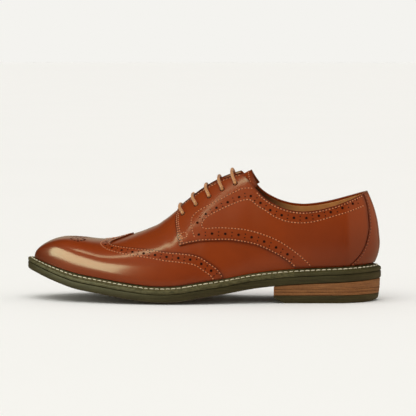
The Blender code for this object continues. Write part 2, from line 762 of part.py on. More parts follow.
def make_laces(material):
    """One lace in straight bars: each end climbs inside and crosses every second row."""
    inward, outward = -LACE_LANE, LACE_LANE
    hidden_end = lace_lane(-1, 3, 4, inward)[:-2]
    route = hidden_end[::-1]
    route += lace_bar(3, -1)
    route += lace_lane(1, 3, 1, inward)
    route += lace_bar(1, 1)
    route += lace_lane(-1, 1, 0, 0.0)
    route += lace_bar(0, -1)
    route += lace_lane(1, 0, 2, outward)
    route += lace_bar(2, 1)
    route += lace_lane(-1, 2, 4, outward)
    route += lace_bar(4, -1)
    route += [facing_point(LAST_EYELET_ALONG, 1, 0.0, -UPPER_WALL - GAP)]
    points = route
    curve = bpy.data.curves.new("laces", "CURVE")
    curve.dimensions = "3D"
    curve.bevel_depth = LACE_DIAMETER / 2
    curve.bevel_resolution = 1
    curve.use_fill_caps = True
    spline = curve.splines.new("POLY")
    spline.points.add(len(points) - 1)
    for point, place in zip(spline.points, points):
        point.co = (*place, 1.0)
    curve.materials.append(material)
    laces = bpy.data.objects.new("laces", curve)
    bpy.context.scene.collection.objects.link(laces)
    return laces


def main():
    for startup in list(bpy.data.objects):
        bpy.data.objects.remove(startup, do_unlink=True)
    tan = make_material("tan_leather", (0.235, 0.048, 0.010), 0.35)
    wing = make_material("wing_leather", (0.225, 0.044, 0.009), 0.35)
    olive = make_material("welt_olive", (0.155, 0.140, 0.075), 0.60)
    dark = make_material("sole_olive", (0.045, 0.040, 0.016), 0.55)
    stacked = make_material("stacked_leather", (0.200, 0.090, 0.035), 0.50)
    lining = make_material("lining", (0.400, 0.210, 0.080), 0.70)
    cord = make_material("lace_tan", (0.450, 0.210, 0.060), 0.60)

    upper = make_upper(tan)
    make_wing_cap(wing)
    lateral = make_quarter("quarter_lateral", -1, tan)
    medial = make_quarter("quarter_medial", 1, tan)
    make_back_strip(tan)
    make_tongue(tan)
    make_insole(lining)
    make_welt(olive)
    make_outsole(dark)
    make_heel(stacked, dark)
    cut_eyelets({-1: (upper, lateral), 1: (upper, medial)})
    make_laces(cord)


main()
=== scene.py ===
import bmesh
import bpy
import numpy as np
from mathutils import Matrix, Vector


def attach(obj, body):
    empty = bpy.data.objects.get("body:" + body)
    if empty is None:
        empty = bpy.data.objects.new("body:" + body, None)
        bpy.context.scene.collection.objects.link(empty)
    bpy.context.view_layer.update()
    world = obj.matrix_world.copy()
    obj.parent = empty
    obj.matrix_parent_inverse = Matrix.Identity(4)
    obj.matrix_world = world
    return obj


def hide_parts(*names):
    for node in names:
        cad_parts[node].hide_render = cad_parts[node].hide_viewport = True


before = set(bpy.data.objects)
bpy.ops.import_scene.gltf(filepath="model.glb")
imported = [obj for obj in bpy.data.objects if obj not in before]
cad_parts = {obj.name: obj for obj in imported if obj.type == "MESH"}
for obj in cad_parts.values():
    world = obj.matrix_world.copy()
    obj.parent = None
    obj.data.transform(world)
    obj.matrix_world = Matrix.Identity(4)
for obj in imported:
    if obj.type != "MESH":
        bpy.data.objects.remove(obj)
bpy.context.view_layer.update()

# Camera: a long lens 2.2 m away looks at the outer side of the shoe, from a little above
# and a little behind the middle, so that the whole shoe fills the square frame.
EYE_DISTANCE = 2.20
EYE_TARGET = (0.0037, 0.0, 0.0776)
EYE_RISE = np.radians(3.8)
EYE_YAW = np.radians(3.48)
FRAME_WIDTH = 0.3544
SENSOR = 36.0

lens = bpy.data.cameras.new("camera")
lens.sensor_width = SENSOR
lens.lens = SENSOR * EYE_DISTANCE / FRAME_WIDTH
camera = bpy.data.objects.new("camera", lens)
toward = Vector(
    (np.cos(EYE_RISE) * np.sin(EYE_YAW), -np.cos(EYE_RISE) * np.cos(EYE_YAW), np.sin(EYE_RISE))
)
camera.location = Vector(EYE_TARGET) + EYE_DISTANCE * toward
camera.rotation_euler = toward.to_track_quat("Z", "Y").to_euler()
bpy.context.scene.collection.objects.link(camera)
bpy.context.scene.camera = camera


# Upper: smooth corrected-grain calf in cognac, pulled over the last while damp and held by
# the welt. Its vamp shows between the wings and the facings, with soft creases where the
# foot will bend.
BALL_WIDTH, WELT_REACH = 0.095, 0.0068
LAST_LENGTH = 0.302 - 2 * WELT_REACH
TOE_X = -LAST_LENGTH / 2
GAP = 0.0003
WELT_THICKNESS, WELT_SLOPE, WELT_SEAT = 0.0030, 0.0029, 0.0028
SOLE_THICKNESS, SOLE_CROWN = 0.0062, 0.0022
BALL_FEATHER = SOLE_CROWN + SOLE_THICKNESS + WELT_THICKNESS + WELT_SLOPE + 2 * GAP
TOE_SPRING, HEEL_PITCH, INSTEP_RISE = 0.0196, 0.0168, 0.0895
COLLAR_RISE, HEEL_BULGE = 0.0614, 0.0044
TOE_CAP, TOE_NOSE, HEEL_CUP = 0.040, 0.030, 0.030
THROAT_ALONG, FACING_TOP = 0.440, 0.617
THROAT_SHIFT = 0.0020
FACING_GAP = (0.0030, 0.0095)
MEDIAL_LIFT = 0.0030
UPPER_WALL = 0.0011
# Step of u or v, or along a line in metres, over which a slope is taken
SMALL = 1e-4

SIZES = "along lateral medial ridge spring pitch rise bulge low shoulder high crown slope hollow"
LAST = np.array(
    (
        (0.00, 0.200, 0.221, 0.042, 1.00, 0.00, 0.190, 0.06, 0.45, 1.00, 0.95, 0.24, 0.30, 0.5),
        (0.06, 0.268, 0.321, 0.042, 0.75, 0.00, 0.247, 0.06, 0.45, 1.00, 0.95, 0.24, 0.70, 0.7),
        (0.13, 0.337, 0.384, 0.042, 0.48, 0.00, 0.298, 0.06, 0.42, 0.98, 0.92, 0.24, 1.00, 0.9),
        (0.21, 0.419, 0.448, 0.044, 0.29, 0.00, 0.322, 0.07, 0.40, 0.95, 0.88, 0.24, 1.00, 1.0),
        (0.30, 0.482, 0.488, 0.050, 0.09, 0.00, 0.438, 0.07, 0.36, 0.89, 0.82, 0.23, 1.00, 1.2),
        (0.36, 0.505, 0.495, 0.052, 0.00, 0.00, 0.536, 0.07, 0.34, 0.83, 0.78, 0.20, 1.00, 1.2),
        (0.43, 0.505, 0.457, 0.046, 0.00, 0.02, 0.700, 0.07, 0.32, 0.73, 0.71, 0.15, 1.00, 1.2),
        (0.50, 0.474, 0.389, 0.034, 0.00, 0.20, 0.851, 0.08, 0.30, 0.68, 0.69, 0.13, 1.00, 0.9),
        (0.57, 0.421, 0.316, 0.024, 0.00, 0.37, 0.958, 0.11, 0.28, 0.70, 0.68, 0.13, 1.00, 0.5),
        (0.65, 0.366, 0.269, 0.016, 0.00, 0.61, 0.990, 0.16, 0.26, 0.83, 0.68, 0.17, 1.00, 0.2),
        (0.73, 0.324, 0.261, 0.010, 0.00, 0.76, 0.955, 0.20, 0.25, 0.96, 0.70, 0.22, 1.00, 0.0),
        (0.82, 0.305, 0.279, 0.005, 0.00, 0.86, 0.915, 0.21, 0.25, 1.00, 0.70, 0.25, 1.00, 0.0),
        (0.91, 0.290, 0.274, 0.000, 0.00, 0.93, 0.870, 0.20, 0.25, 1.00, 0.70, 0.24, 1.00, 0.0),
        (1.00, 0.236, 0.236, 0.000, 0.00, 1.00, 0.810, 0.18, 0.25, 1.00, 0.70, 0.20, 1.00, 0.0),
    )
)
# Height of the heel's back curve (share of COLLAR_RISE) and its reach (share of HEEL_BULGE)
HEEL_BACK = np.array(
    (
        (0, 0), (0.12, 0.68), (0.25, 1), (0.40, 0.89), (0.60, 0.50),
        (0.78, -0.2), (0.95, -1.15), (1.15, -2.6),
    )
)
# Topline: share of the length and height over the welt (share of COLLAR_RISE)
COLLAR = np.array(
    (
        (0.600, 1.460), (0.615, 1.370), (0.652, 1.168), (0.671, 1.060), (0.709, 0.915),
        (0.748, 0.825), (0.789, 0.782), (0.836, 0.787), (0.884, 0.827), (0.934, 0.892),
        (1.000, 0.990),
    )
)
# Creases, listed one by one: along at the ridge, slant towards the sides, first and last |v|,
# trough depth and half width
CREASES = (
    (0.365, 0.050, -0.62, 0.55, 0.00042, 0.0042),
    (0.395, 0.035, -0.70, 0.66, 0.00050, 0.0046),
    (0.424, 0.060, -0.78, 0.30, 0.00036, 0.0040),
    (0.452, 0.070, -0.86, -0.52, 0.00034, 0.0044),
    (0.455, 0.065, 0.50, 0.84, 0.00040, 0.0046),
    (0.560, -0.06, -0.96, -0.80, 0.00026, 0.0060),
    (0.640, 0.020, -0.72, -0.46, 0.00028, 0.0075),
    (0.655, 0.020, 0.44, 0.74, 0.00030, 0.0075),
)


def through(points, at, column=1):
    """Cubic through the points: the slope at a knot is the mean of both rates, each weighted
    by the step on the other side. It goes on straight beyond the ends."""
    at = np.asarray(at, float)
    x, y = points[:, 0], points[:, column]
    step = np.diff(x)
    rate = np.diff(y) / step
    inner = (rate[:-1] * step[1:] + rate[1:] * step[:-1]) / (step[:-1] + step[1:])
    slope = np.concatenate([rate[:1], inner, rate[-1:]])
    i = np.clip(np.searchsorted(x, at) - 1, 0, len(x) - 2)
    t = np.clip((at - x[i]) / step[i], 0, 1)
    rising = 3 * t**2 - 2 * t**3
    curve = (1 - rising) * y[i] + rising * y[i + 1]
    curve += step[i] * (slope[i] * (t**3 - 2 * t**2 + t) + slope[i + 1] * (t**3 - t**2))
    return curve + np.minimum(at - x[0], 0) * slope[0] + np.maximum(at - x[-1], 0) * slope[-1]


def unit(vectors):
    return vectors / np.maximum(np.linalg.norm(vectors, axis=-1, keepdims=True), 1e-12)


def run_length(points):
    """Distance along a line, at each of its points."""
    return np.append(0, np.linalg.norm(np.diff(points, axis=0), axis=1).cumsum())


def values_at(values, length, at):
    """Points of a line, or normals kept beside them, at distances along it."""
    return np.stack([np.interp(at, length, column) for column in values.T], axis=-1)


def size_at(name, along):
    return through(LAST, along, SIZES.split().index(name))


def along_of(u):
    """Share of the length at station u: half of one minus the cosine of pi u."""
    return (1 - np.cos(np.pi * np.clip(u, 0, 1))) / 2


def station_of(along):
    return np.arccos(1 - 2 * np.clip(along, 0, 1)) / np.pi


def quarter_ellipse(distance, length):
    return np.sqrt(1 - (1 - np.clip(distance / length, 0, 1)) ** 2)


def width_share(along):
    """1 along the shoe, falling to 0 at both tips on quarter ellipses."""
    heel = quarter_ellipse((1 - along) * LAST_LENGTH, HEEL_CUP)
    return quarter_ellipse(along * LAST_LENGTH, TOE_CAP) * heel


def feather_height(along):
    spring, pitch = size_at("spring", along), size_at("pitch", along)
    return BALL_FEATHER + spring * TOE_SPRING + pitch * HEEL_PITCH


def feather_plan(u, side):
    """Plan of the line where the upper meets the welt: the ridge plus or minus a half width."""
    along = along_of(u)
    ridge = size_at("ridge", along)
    lateral, medial = size_at("lateral", along) + ridge, size_at("medial", along) - ridge
    half = np.where(np.asarray(side) < 0, lateral, medial)
    y = (ridge + side * half * width_share(along)) * BALL_WIDTH
    return np.stack(np.broadcast_arrays(TOE_X + along * LAST_LENGTH, y), axis=-1)


def last_point(u, v):
    """Outer surface of the last: at station u a quartic Bezier section runs from the outer
    feather (v = -1) over the ridge (0) to the inner one (+1), and the heel leans on its
    back curve."""
    u, v = np.broadcast_arrays(np.asarray(u, float), np.asarray(v, float))
    side, t = np.where(v < 0, -1.0, 1.0), np.abs(v)
    along = along_of(u)
    plan = feather_plan(u, side)
    ridge = size_at("ridge", along) * BALL_WIDTH
    half = plan[..., 1] - ridge
    rise = size_at("rise", along) * INSTEP_RISE * quarter_ellipse(along * LAST_LENGTH, TOE_NOSE)
    crown = side * size_at("crown", along) * BALL_WIDTH * width_share(along)
    s = 1 - t
    weights = (t**4, 4 * t**3 * s, 6 * t**2 * s**2, 4 * t * s**3, s**4)
    bulge, shoulder = half * (1 + size_at("bulge", along)), half * size_at("shoulder", along)
    across = (half, bulge, shoulder, crown, 0)
    upward = (0, rise * size_at("low", along), rise * size_at("high", along), rise, rise)
    height = sum(w * c for w, c in zip(weights, upward))
    pull = np.clip((along - 0.72) / 0.28, 0, 1) ** 2
    lean = through(HEEL_BACK, height / COLLAR_RISE) * HEEL_BULGE
    y = ridge + sum(w * c for w, c in zip(weights, across))
    return np.stack([plan[..., 0] + pull * lean, y, feather_height(along) + height], axis=-1)


def last_normal(u, v):
    """Outward unit normal, from the cross product of small steps along and across."""
    u, v = np.broadcast_arrays(np.asarray(u, float), np.asarray(v, float))
    middle = np.clip(u, 2e-3, 1 - SMALL)
    more, less = np.clip(v + SMALL, -1, 1), np.clip(v - SMALL, -1, 1)
    across = last_point(middle, more) - last_point(middle, less)
    normal = np.cross(last_point(middle + SMALL, v) - last_point(middle - SMALL, v), across)
    normal[u <= 0] = (-1.0, 0.0, 0.0)
    normal[u >= 1, 1] = 0.0
    return unit(normal)


def relief(u, v):
    """Soft creases: each is a trough with a low ridge on both sides, faded at its ends."""
    along, total = along_of(u), 0.0
    for ridge, slant, first, last, depth, width in CREASES:
        s = (along - ridge - slant * v**2) * LAST_LENGTH / width
        middle, reach = (first + last) / 2, (last - first) / 2
        fade = np.exp(-(((v - middle) / reach) ** 4) * 1.5)
        total = total - depth * (1 - 0.9 * s**2) * np.exp(-(s**2) / 2) * fade
    return total


def skin(u, v, out=0.0):
    """A point over the leather's outer surface, creases included (negative is inside)."""
    lift = np.asarray(out + relief(u, v))[..., None]
    return last_point(u, v) + lift * last_normal(u, v)


def inverse(values, wanted):
    """Share along each row of rising values where the wanted value is reached."""
    i = np.clip((values < wanted[..., None]).sum(axis=-1), 1, values.shape[-1] - 1)
    high = np.take_along_axis(values, i[..., None], -1)[..., 0]
    low = np.take_along_axis(values, i[..., None] - 1, -1)[..., 0]
    share = np.clip((wanted - low) / np.maximum(high - low, 1e-9), 0, 1)
    return (i - 1 + share) / (values.shape[-1] - 1)


def across_at_reach(u, side, reach):
    """|v| at a distance from the ridge, measured over the leather."""
    u, reach = np.broadcast_arrays(np.asarray(u, float), np.asarray(reach, float))
    points = last_point(u[..., None], side * np.linspace(0, 1, 121))
    length = np.linalg.norm(np.diff(points, axis=-2), axis=-1).cumsum(axis=-1)
    return inverse(np.concatenate([0 * length[..., :1], length], axis=-1), reach)


def signed_reach(u, side, reach):
    """v at a distance from the ridge, where each point has its own side."""
    outer, inner = (across_at_reach(u, each, reach) for each in (-1, 1))
    return side * np.where(side < 0, outer, inner)


TOP_STATIONS = np.linspace(0, 1, 1201)


def top_table(side):
    """|v| of the facing's edge and, behind it, of the topline, at every top station."""
    u, along = TOP_STATIONS, along_of(TOP_STATIONS)
    slot = np.clip((along - THROAT_ALONG) / (FACING_TOP - THROAT_ALONG), 0, 1)
    opening = FACING_GAP[0] + (FACING_GAP[1] - FACING_GAP[0]) * slot
    facing = across_at_reach(u, side, opening - side * THROAT_SHIFT)
    behind = np.clip((along - FACING_TOP) / (1 - FACING_TOP), 0, 1)
    lift = max(side, 0) * MEDIAL_LIFT * np.sin(np.pi * behind)
    level = through(COLLAR, along) * COLLAR_RISE + lift
    heights = last_point(u[:, None], side * np.linspace(0, 1, 241))[..., 2]
    collar = inverse(-heights, -(feather_height(along) + level))
    return np.where(along < COLLAR[0, 0], facing, np.maximum(facing, collar))


TOP_LINE = {side: top_table(side) for side in (-1, 1)}


def quarter_top(u, side):
    return np.interp(u, TOP_STATIONS, TOP_LINE[side])


def ring_index(rows, sides):
    """Numbers of the points of a tube's rings, the first of each ring once more at its end."""
    index = np.arange(rows * sides).reshape(rows, sides)
    return np.concatenate([index, index[:, :1]], axis=1)


def grid_faces(index):
    corners = [index[:-1, :-1], index[1:, :-1], index[1:, 1:], index[:-1, 1:]]
    return np.stack(corners, axis=-1).reshape(-1, 4)


def add_piece(name, points, faces, material, node, sharp=38.0, turn=True, rim=None):
    """A piece of the shoe from whole arrays. Points that meet become one, and rim is a value
    per point that says how near the piece's cut edge is."""
    mesh = bpy.data.meshes.new(name)
    mesh.from_pydata(points.tolist(), [], faces if isinstance(faces, list) else faces.tolist())
    if rim is not None:
        mesh.attributes.new("rim", "FLOAT", "POINT").data.foreach_set("value", np.ravel(rim))
    if turn:
        shape = bmesh.new()
        shape.from_mesh(mesh)
        bmesh.ops.remove_doubles(shape, verts=shape.verts, dist=1e-6)
        bmesh.ops.dissolve_degenerate(shape, edges=shape.edges, dist=1e-6)
        loose = [vertex for vertex in shape.verts if not vertex.link_faces]
        bmesh.ops.delete(shape, geom=loose, context="VERTS")
        bmesh.ops.recalc_face_normals(shape, faces=shape.faces)
        shape.to_mesh(mesh)
        shape.free()
    mesh.materials.append(material)
    mesh.shade_smooth()
    if sharp:
        mesh.set_sharp_from_angle(angle=np.radians(sharp))
    piece = bpy.data.objects.new(name, mesh)
    bpy.context.scene.collection.objects.link(piece)
    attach(piece, "root")
    if node:
        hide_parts(node)
    return piece


def add_sheet(name, layers, material, node, rim=None):
    """Solid between the first and last of several grids, through the borders of them all."""
    rows, columns = layers[0].shape[:2]
    index = np.arange(len(layers) * rows * columns).reshape(len(layers), rows, columns)
    faces = [grid_faces(index[0]), grid_faces(index[-1])[:, ::-1]]
    for above, below in zip(index, index[1:]):
        borders = [(above[0], below[0]), (below[-1], above[-1])]
        borders += [(below[:, 0], above[:, 0]), (above[:, -1], below[:, -1])]
        faces += [grid_faces(np.stack(border)) for border in borders]
    points = np.concatenate([layer.reshape(-1, 3) for layer in layers])
    rim = None if rim is None else np.concatenate([rim.ravel()] * len(layers))
    return add_piece(name, points, np.concatenate(faces), material, node, rim=rim)


# Width of the darkened band along a cut edge
EDGE_FADE = 0.0045


def edge_nearness(points):
    """1 at the border of a grid of points, falling to 0 at the fade distance inside it."""
    down = np.linalg.norm(np.diff(points, axis=0), axis=-1).cumsum(axis=0)
    down = np.concatenate([0 * down[:1], down])
    over = np.linalg.norm(np.diff(points, axis=1), axis=-1).cumsum(axis=1)
    over = np.concatenate([0 * over[:, :1], over], axis=1)
    nearest = np.minimum(np.minimum(down, down[-1] - down), np.minimum(over, over[:, -1:] - over))
    return np.clip(1 - nearest / EDGE_FADE, 0, 1) ** 1.5


def soften(piece, width):
    """Rounds the cut edges of a piece."""
    bevel = piece.modifiers.new("rounded_edge", "BEVEL")
    bevel.width, bevel.segments = width, 3
    bevel.limit_method, bevel.angle_limit = "ANGLE", np.radians(50.0)
    bevel.harden_normals = False


def put(tree, kind, inputs=(), **settings):
    """One shader node: its settings, then its inputs by name, each a value or an output."""
    made = tree.nodes.new("ShaderNode" + kind)
    for key, value in settings.items():
        setattr(made, key, value)
    for key, value in dict(inputs).items():
        if isinstance(value, bpy.types.NodeSocket):
            tree.links.new(value, made.inputs[key])
        else:
            made.inputs[key].default_value = value
    return made


def combine(tree, operation, *values, clamp=False):
    """A product, a sum or the like of numbers and outputs."""
    made = put(tree, "Math", enumerate(values), operation=operation, use_clamp=clamp)
    return made.outputs[0]


def noise(tree, place, scale, detail=2.0, roughness=0.5):
    inputs = {"Vector": place, "Scale": scale, "Detail": detail, "Roughness": roughness}
    return put(tree, "TexNoise", inputs).outputs[0]


def rim_value(tree):
    return put(tree, "Attribute", attribute_name="rim").outputs["Fac"]


def new_group(name, inputs, outputs):
    """A shader node group with named inputs (label, kind, value) and outputs (label, kind)."""
    tree = bpy.data.node_groups.new(name, "ShaderNodeTree")
    for label, kind, value in inputs:
        socket = tree.interface.new_socket(label, in_out="INPUT", socket_type="NodeSocket" + kind)
        if value is not None:
            socket.default_value = value
    for label, kind in outputs:
        tree.interface.new_socket(label, in_out="OUTPUT", socket_type="NodeSocket" + kind)
    return tree, tree.nodes.new("NodeGroupInput").outputs, tree.nodes.new("NodeGroupOutput").inputs


def ramp_between(tree, factor, low, high):
    """0 below low, 1 above high, smooth between."""
    inputs = {"Value": factor, "From Min": low, "From Max": high}
    return put(tree, "MapRange", inputs, interpolation_type="SMOOTHSTEP").outputs[0]


def blend_colours(tree, factor, first, second):
    """The first colour where factor is 0, the second where it is 1. Each is red, green and
    blue or another node's output."""
    first, second = ((*each, 1.0) if isinstance(each, tuple) else each for each in (first, second))
    return put(tree, "Mix", {0: factor, 6: first, 7: second}, data_type="RGBA").outputs[2]


def grain_group():
    """Fine calf grain: small pebbles between pores, over a slow unevenness of the hide."""
    tree, given, result = new_group(
        "hide_grain",
        (("Place", "Vector", None), ("Pebble", "Float", 1500.0)),
        (("Height", "Float"), ("Tone", "Float"), ("Cloud", "Float")),
    )
    cells = {"Vector": given["Place"], "Scale": given["Pebble"], "Randomness": 0.9}
    pebbles = put(tree, "TexVoronoi", cells, feature="DISTANCE_TO_EDGE").outputs["Distance"]
    pores = noise(tree, given["Place"], 2600.0)
    slow = noise(tree, given["Place"], 260.0, 3.0)
    mixed = combine(tree, "MULTIPLY_ADD", pebbles, 0.9, pores)
    tree.links.new(combine(tree, "MULTIPLY_ADD", slow, 0.7, mixed), result["Height"])
    tree.links.new(slow, result["Tone"])
    tree.links.new(noise(tree, given["Place"], 28.0, 4.0, 0.6), result["Cloud"])
    return tree


def burnish_and_shade_group():
    """1 at the burnished toe, and as painted shade low on the heel beside the welt; 0 in the
    middle.
    """
    inputs = (("Place", "Vector", None), ("Cloud", "Float", 0.5))
    tree, given, result = new_group("burnish_and_painted_shade", inputs, (("Mask", "Float"),))
    parts = put(tree, "SeparateXYZ", {0: given["Place"]}).outputs
    toe = ramp_between(tree, parts["X"], -0.112, -0.150)
    # Painted shade: the heel is darker towards the bottom, beside the welt
    heel = ramp_between(tree, parts["X"], 0.050, 0.150)
    low = ramp_between(tree, parts["Z"], 0.085, 0.030)
    most = combine(tree, "MAXIMUM", toe, combine(tree, "MULTIPLY", heel, low))
    uneven = combine(tree, "MULTIPLY_ADD", given["Cloud"], 0.8, 0.6)
    tree.links.new(combine(tree, "MULTIPLY", most, uneven, clamp=True), result["Mask"])
    return tree


GRAIN, BURNISH_AND_SHADE = grain_group(), burnish_and_shade_group()


def new_material(name, roughness, specular=0.5, coat=0.0, coat_roughness=0.1, sheen=0.0):
    """A material with the values that are the same all over it set on its shader."""
    material = bpy.data.materials.new(name)
    material.use_nodes = True
    tree = material.node_tree
    shader = tree.nodes["Principled BSDF"]
    shader.inputs["Roughness"].default_value = roughness
    shader.inputs["Specular IOR Level"].default_value = specular
    shader.inputs["Coat Weight"].default_value = coat
    shader.inputs["Coat Roughness"].default_value = coat_roughness
    shader.inputs["Sheen Weight"].default_value = sheen
    place = put(tree, "TexCoord").outputs["Object"]
    return material, tree, shader, place


def shade(tree, shader, colour, roughness=None, height=None, strength=0.2, distance=0.0003):
    tree.links.new(colour, shader.inputs["Base Color"])
    if roughness is not None:
        tree.links.new(roughness, shader.inputs["Roughness"])
    if height is not None:
        bump = put(tree, "Bump", {"Height": height, "Strength": strength, "Distance": distance})
        tree.links.new(bump.outputs[0], shader.inputs["Normal"])


def calf(name, base, deep):
    """Polished calf: cloudy cognac, darker at its burnished toe and at every cut edge, and with
    painted shade low on the heel.
    """
    material, tree, shader, place = new_material(name, 0.42, 0.08, coat=0.85, coat_roughness=0.18)
    hide = put(tree, "Group", node_tree=GRAIN)
    tree.links.new(place, hide.inputs["Place"])
    burnish_and_shade = put(tree, "Group", node_tree=BURNISH_AND_SHADE)
    tree.links.new(place, burnish_and_shade.inputs["Place"])
    tree.links.new(hide.outputs["Cloud"], burnish_and_shade.inputs["Cloud"])
    cloudy = ramp_between(tree, hide.outputs["Cloud"], 0.30, 0.72)
    colour = blend_colours(tree, cloudy, base, tuple(1.12 * part for part in base))
    # Darker at the burnished toe, and painted shade low on the heel
    mask = combine(tree, "MULTIPLY", burnish_and_shade.outputs["Mask"], 0.55)
    edge = combine(tree, "MULTIPLY", rim_value(tree), 0.75)
    colour = blend_colours(tree, combine(tree, "MAXIMUM", mask, edge), colour, deep)
    fine = ramp_between(tree, hide.outputs["Tone"], 0.25, 0.75)
    roughness = combine(tree, "MULTIPLY_ADD", fine, 0.08, 0.38)
    shade(tree, shader, colour, roughness, hide.outputs["Height"], 0.08, 0.00012)
    return material


COGNAC = calf("cognac_calf", (0.245, 0.033, 0.0010), (0.070, 0.006, 0.0008))
WING_CALF = calf("wing_calf", (0.238, 0.031, 0.0010), (0.065, 0.006, 0.0008))


def add_upper():
    """Two half grids that share the ridge in front of the throat, each from the open edge
    (share 0) to the feather (share 1), closed by a wall inwards."""
    throat, corner = station_of(THROAT_ALONG), station_of(FACING_TOP)
    even = np.linspace(0, 1, 231)
    extra = np.array([throat, throat + 0.0012, corner, corner + 0.0015])
    clear = np.abs(even[:, None] - extra).min(axis=1) > 0.0012
    rows = np.sort(np.concatenate([even[clear], extra]))
    shares = np.linspace(0, 1, 51)
    points, faces = [], []
    for side in (-1, 1):
        edge = np.where(along_of(rows) <= THROAT_ALONG, 0.0, quarter_top(rows, side))
        v = side * (edge[:, None] + (1 - edge[:, None]) * shares)
        u = np.broadcast_to(rows[:, None], v.shape)
        outer = np.arange(v.size).reshape(v.shape) + sum(len(part) for part in points)
        inner = outer + v.size
        points += [skin(u, v, 0.0).reshape(-1, 3), skin(u, v, -UPPER_WALL).reshape(-1, 3)]
        opened = np.flatnonzero(edge > 0)[0] - 1
        faces += [grid_faces(outer), grid_faces(inner)[:, ::-1]]
        faces.append(grid_faces(np.stack([outer[:, -1], inner[:, -1]])))
        faces.append(grid_faces(np.stack([outer[opened:, 0], inner[opened:, 0]])))
    points, faces = np.concatenate(points), np.concatenate(faces)
    return add_piece("upper", points, faces, COGNAC, "upper")


soften(add_upper(), 0.0004)


# Lining: thin undyed calf glued inside the upper, with its cut edge just below the topline.
# Its colour is darker towards the vamp: painted shade, where no light falls in.
LINING_WALL = 0.0007
LINING_BED = 0.0001
LINING_SHY = 0.0018
SIDE_HEIGHT = 0.11


def lining_material():
    material, tree, shader, place = new_material("lining_calf", 0.62, specular=0.2)
    hide = put(tree, "Group", node_tree=GRAIN)
    tree.links.new(place, hide.inputs["Place"])
    hide.inputs["Pebble"].default_value = 1100.0
    worn = ramp_between(tree, hide.outputs["Cloud"], 0.35, 0.70)
    colour = blend_colours(tree, worn, (0.620, 0.270, 0.075), (0.780, 0.400, 0.130))
    # Painted shade: dark near the throat, lighter further back, where light falls in
    backward = put(tree, "SeparateXYZ", {0: place}).outputs["X"]
    lit = ramp_between(tree, backward, 0.048, 0.092)
    colour = blend_colours(tree, lit, (0.110, 0.034, 0.010), colour)
    shade(tree, shader, colour, None, hide.outputs["Height"], 0.18, 0.0002)
    return material


LINING = lining_material()


def add_lining(name, side):
    """Half of the lining: the upper's own grid, further in and a little below its edge."""
    u = station_of(np.linspace(0.30, 1.0, 160) ** 0.9)[:, None]
    shares = np.linspace(0, 1, 40)[None, :]
    along = along_of(u[:, 0])
    below = quarter_top(u[:, 0], side) + LINING_SHY / SIDE_HEIGHT
    edge = np.where(along <= THROAT_ALONG, 0.0, below)
    v = side * (edge[:, None] + (1 - edge[:, None]) * shares)
    u = np.broadcast_to(u, v.shape)
    under = -UPPER_WALL - LINING_BED
    layers = [skin(u, v, under), skin(u, v, under - LINING_WALL)]
    return add_sheet(name, layers, LINING, None)


add_lining("lining_outer", -1)
add_lining("lining_inner", 1)


# Wing cap: the second layer of calf over the toe, drawn out into a peak on the ridge and a
# wing along each side, skived thin at its edge and sewn down with two rows.
OVERLAY_BED, OVERLAY_TOP = 0.00012, 0.00125
OVERLAY_FOOT = 0.985
WING_EDGE = np.array(
    (
        (0.000, 0.292), (0.070, 0.270), (0.140, 0.246), (0.210, 0.233), (0.280, 0.231),
        (0.357, 0.243), (0.479, 0.299), (0.557, 0.355), (0.637, 0.402), (0.699, 0.447),
        (0.774, 0.495), (0.845, 0.526), (0.900, 0.548), (1.000, 0.571),
    )
)


def overlay(u, v):
    """Outer and inner grid of a sheet laid on the upper."""
    return [skin(u, v, OVERLAY_TOP), skin(u, v, OVERLAY_BED)]


def add_wing_cap():
    """Rows run from the toe to the wing edge in even shares of the station."""
    v = np.linspace(-OVERLAY_FOOT, OVERLAY_FOOT, 161)[None, :]
    edge = station_of(through(WING_EDGE, np.abs(v)))
    u = edge * np.linspace(0, 1, 151)[:, None]
    u, v = np.broadcast_arrays(u, v)
    layers = overlay(u, v)
    down = np.linalg.norm(np.diff(layers[0], axis=0), axis=-1)[::-1].cumsum(axis=0)[::-1]
    rim = np.clip(1 - np.concatenate([down, 0 * down[:1]]) / EDGE_FADE, 0, 1) ** 1.5
    return add_sheet("wing_cap", layers, WING_CALF, "wing_cap", rim=rim)


soften(add_wing_cap(), 0.0005)


# Quarters: one sheet of calf a side, from the facing with its eyelets back to the heel
# strip. Its corner lies on the vamp, where a ring of stitches holds it.
QUARTER_FRONT = np.array(
    ((0.0, 0.427), (0.12, 0.424), (0.30, 0.421), (0.48, 0.428), (0.62, 0.438))
)
QUARTER_FOOT = np.array(
    (
        (0.430, 0.617), (0.489, 0.657), (0.537, 0.692), (0.586, 0.722), (0.622, 0.751),
        (0.659, 0.784), (0.700, 0.836), (0.735, 0.893), (0.760, 0.950), (0.776, 1.000),
        (1.000, 1.000),
    )
)
BACK_STRIP = np.array(
    (
        (0.250, 0.985), (0.369, 0.985), (0.469, 0.984), (0.577, 0.980), (0.681, 0.976),
        (0.790, 0.966), (0.874, 0.955), (0.946, 0.941), (1.000, 0.927),
    )
)


def quarter_grid(side, rows=181, columns=81):
    """Stations and |v| between four edges that depend on each other, found by repeating:
    front and back edges from v, facing and foot edges from u."""
    a, b = np.meshgrid(np.linspace(0, 1, rows), np.linspace(0, 1, columns), indexing="ij")
    v = 0.2 + 0.6 * b
    for _ in range(8):
        front = through(QUARTER_FRONT, v)
        back = through(BACK_STRIP, v) - 2 * GAP / LAST_LENGTH
        u = station_of(front + (back - front) * a)
        top = quarter_top(u, side)
        foot = np.minimum(through(QUARTER_FOOT, along_of(u)), OVERLAY_FOOT)
        v = top + (foot - top) * b
    return u, side * v


def add_panel(name, layers, rounding=0.0005):
    """A panel of cognac calf, darkened and rounded at its cut edges."""
    rim = edge_nearness(layers[0])
    soften(add_sheet(name, layers, COGNAC, name, rim), rounding)


add_panel("quarter_lateral", overlay(*quarter_grid(-1)))
add_panel("quarter_medial", overlay(*quarter_grid(1)))


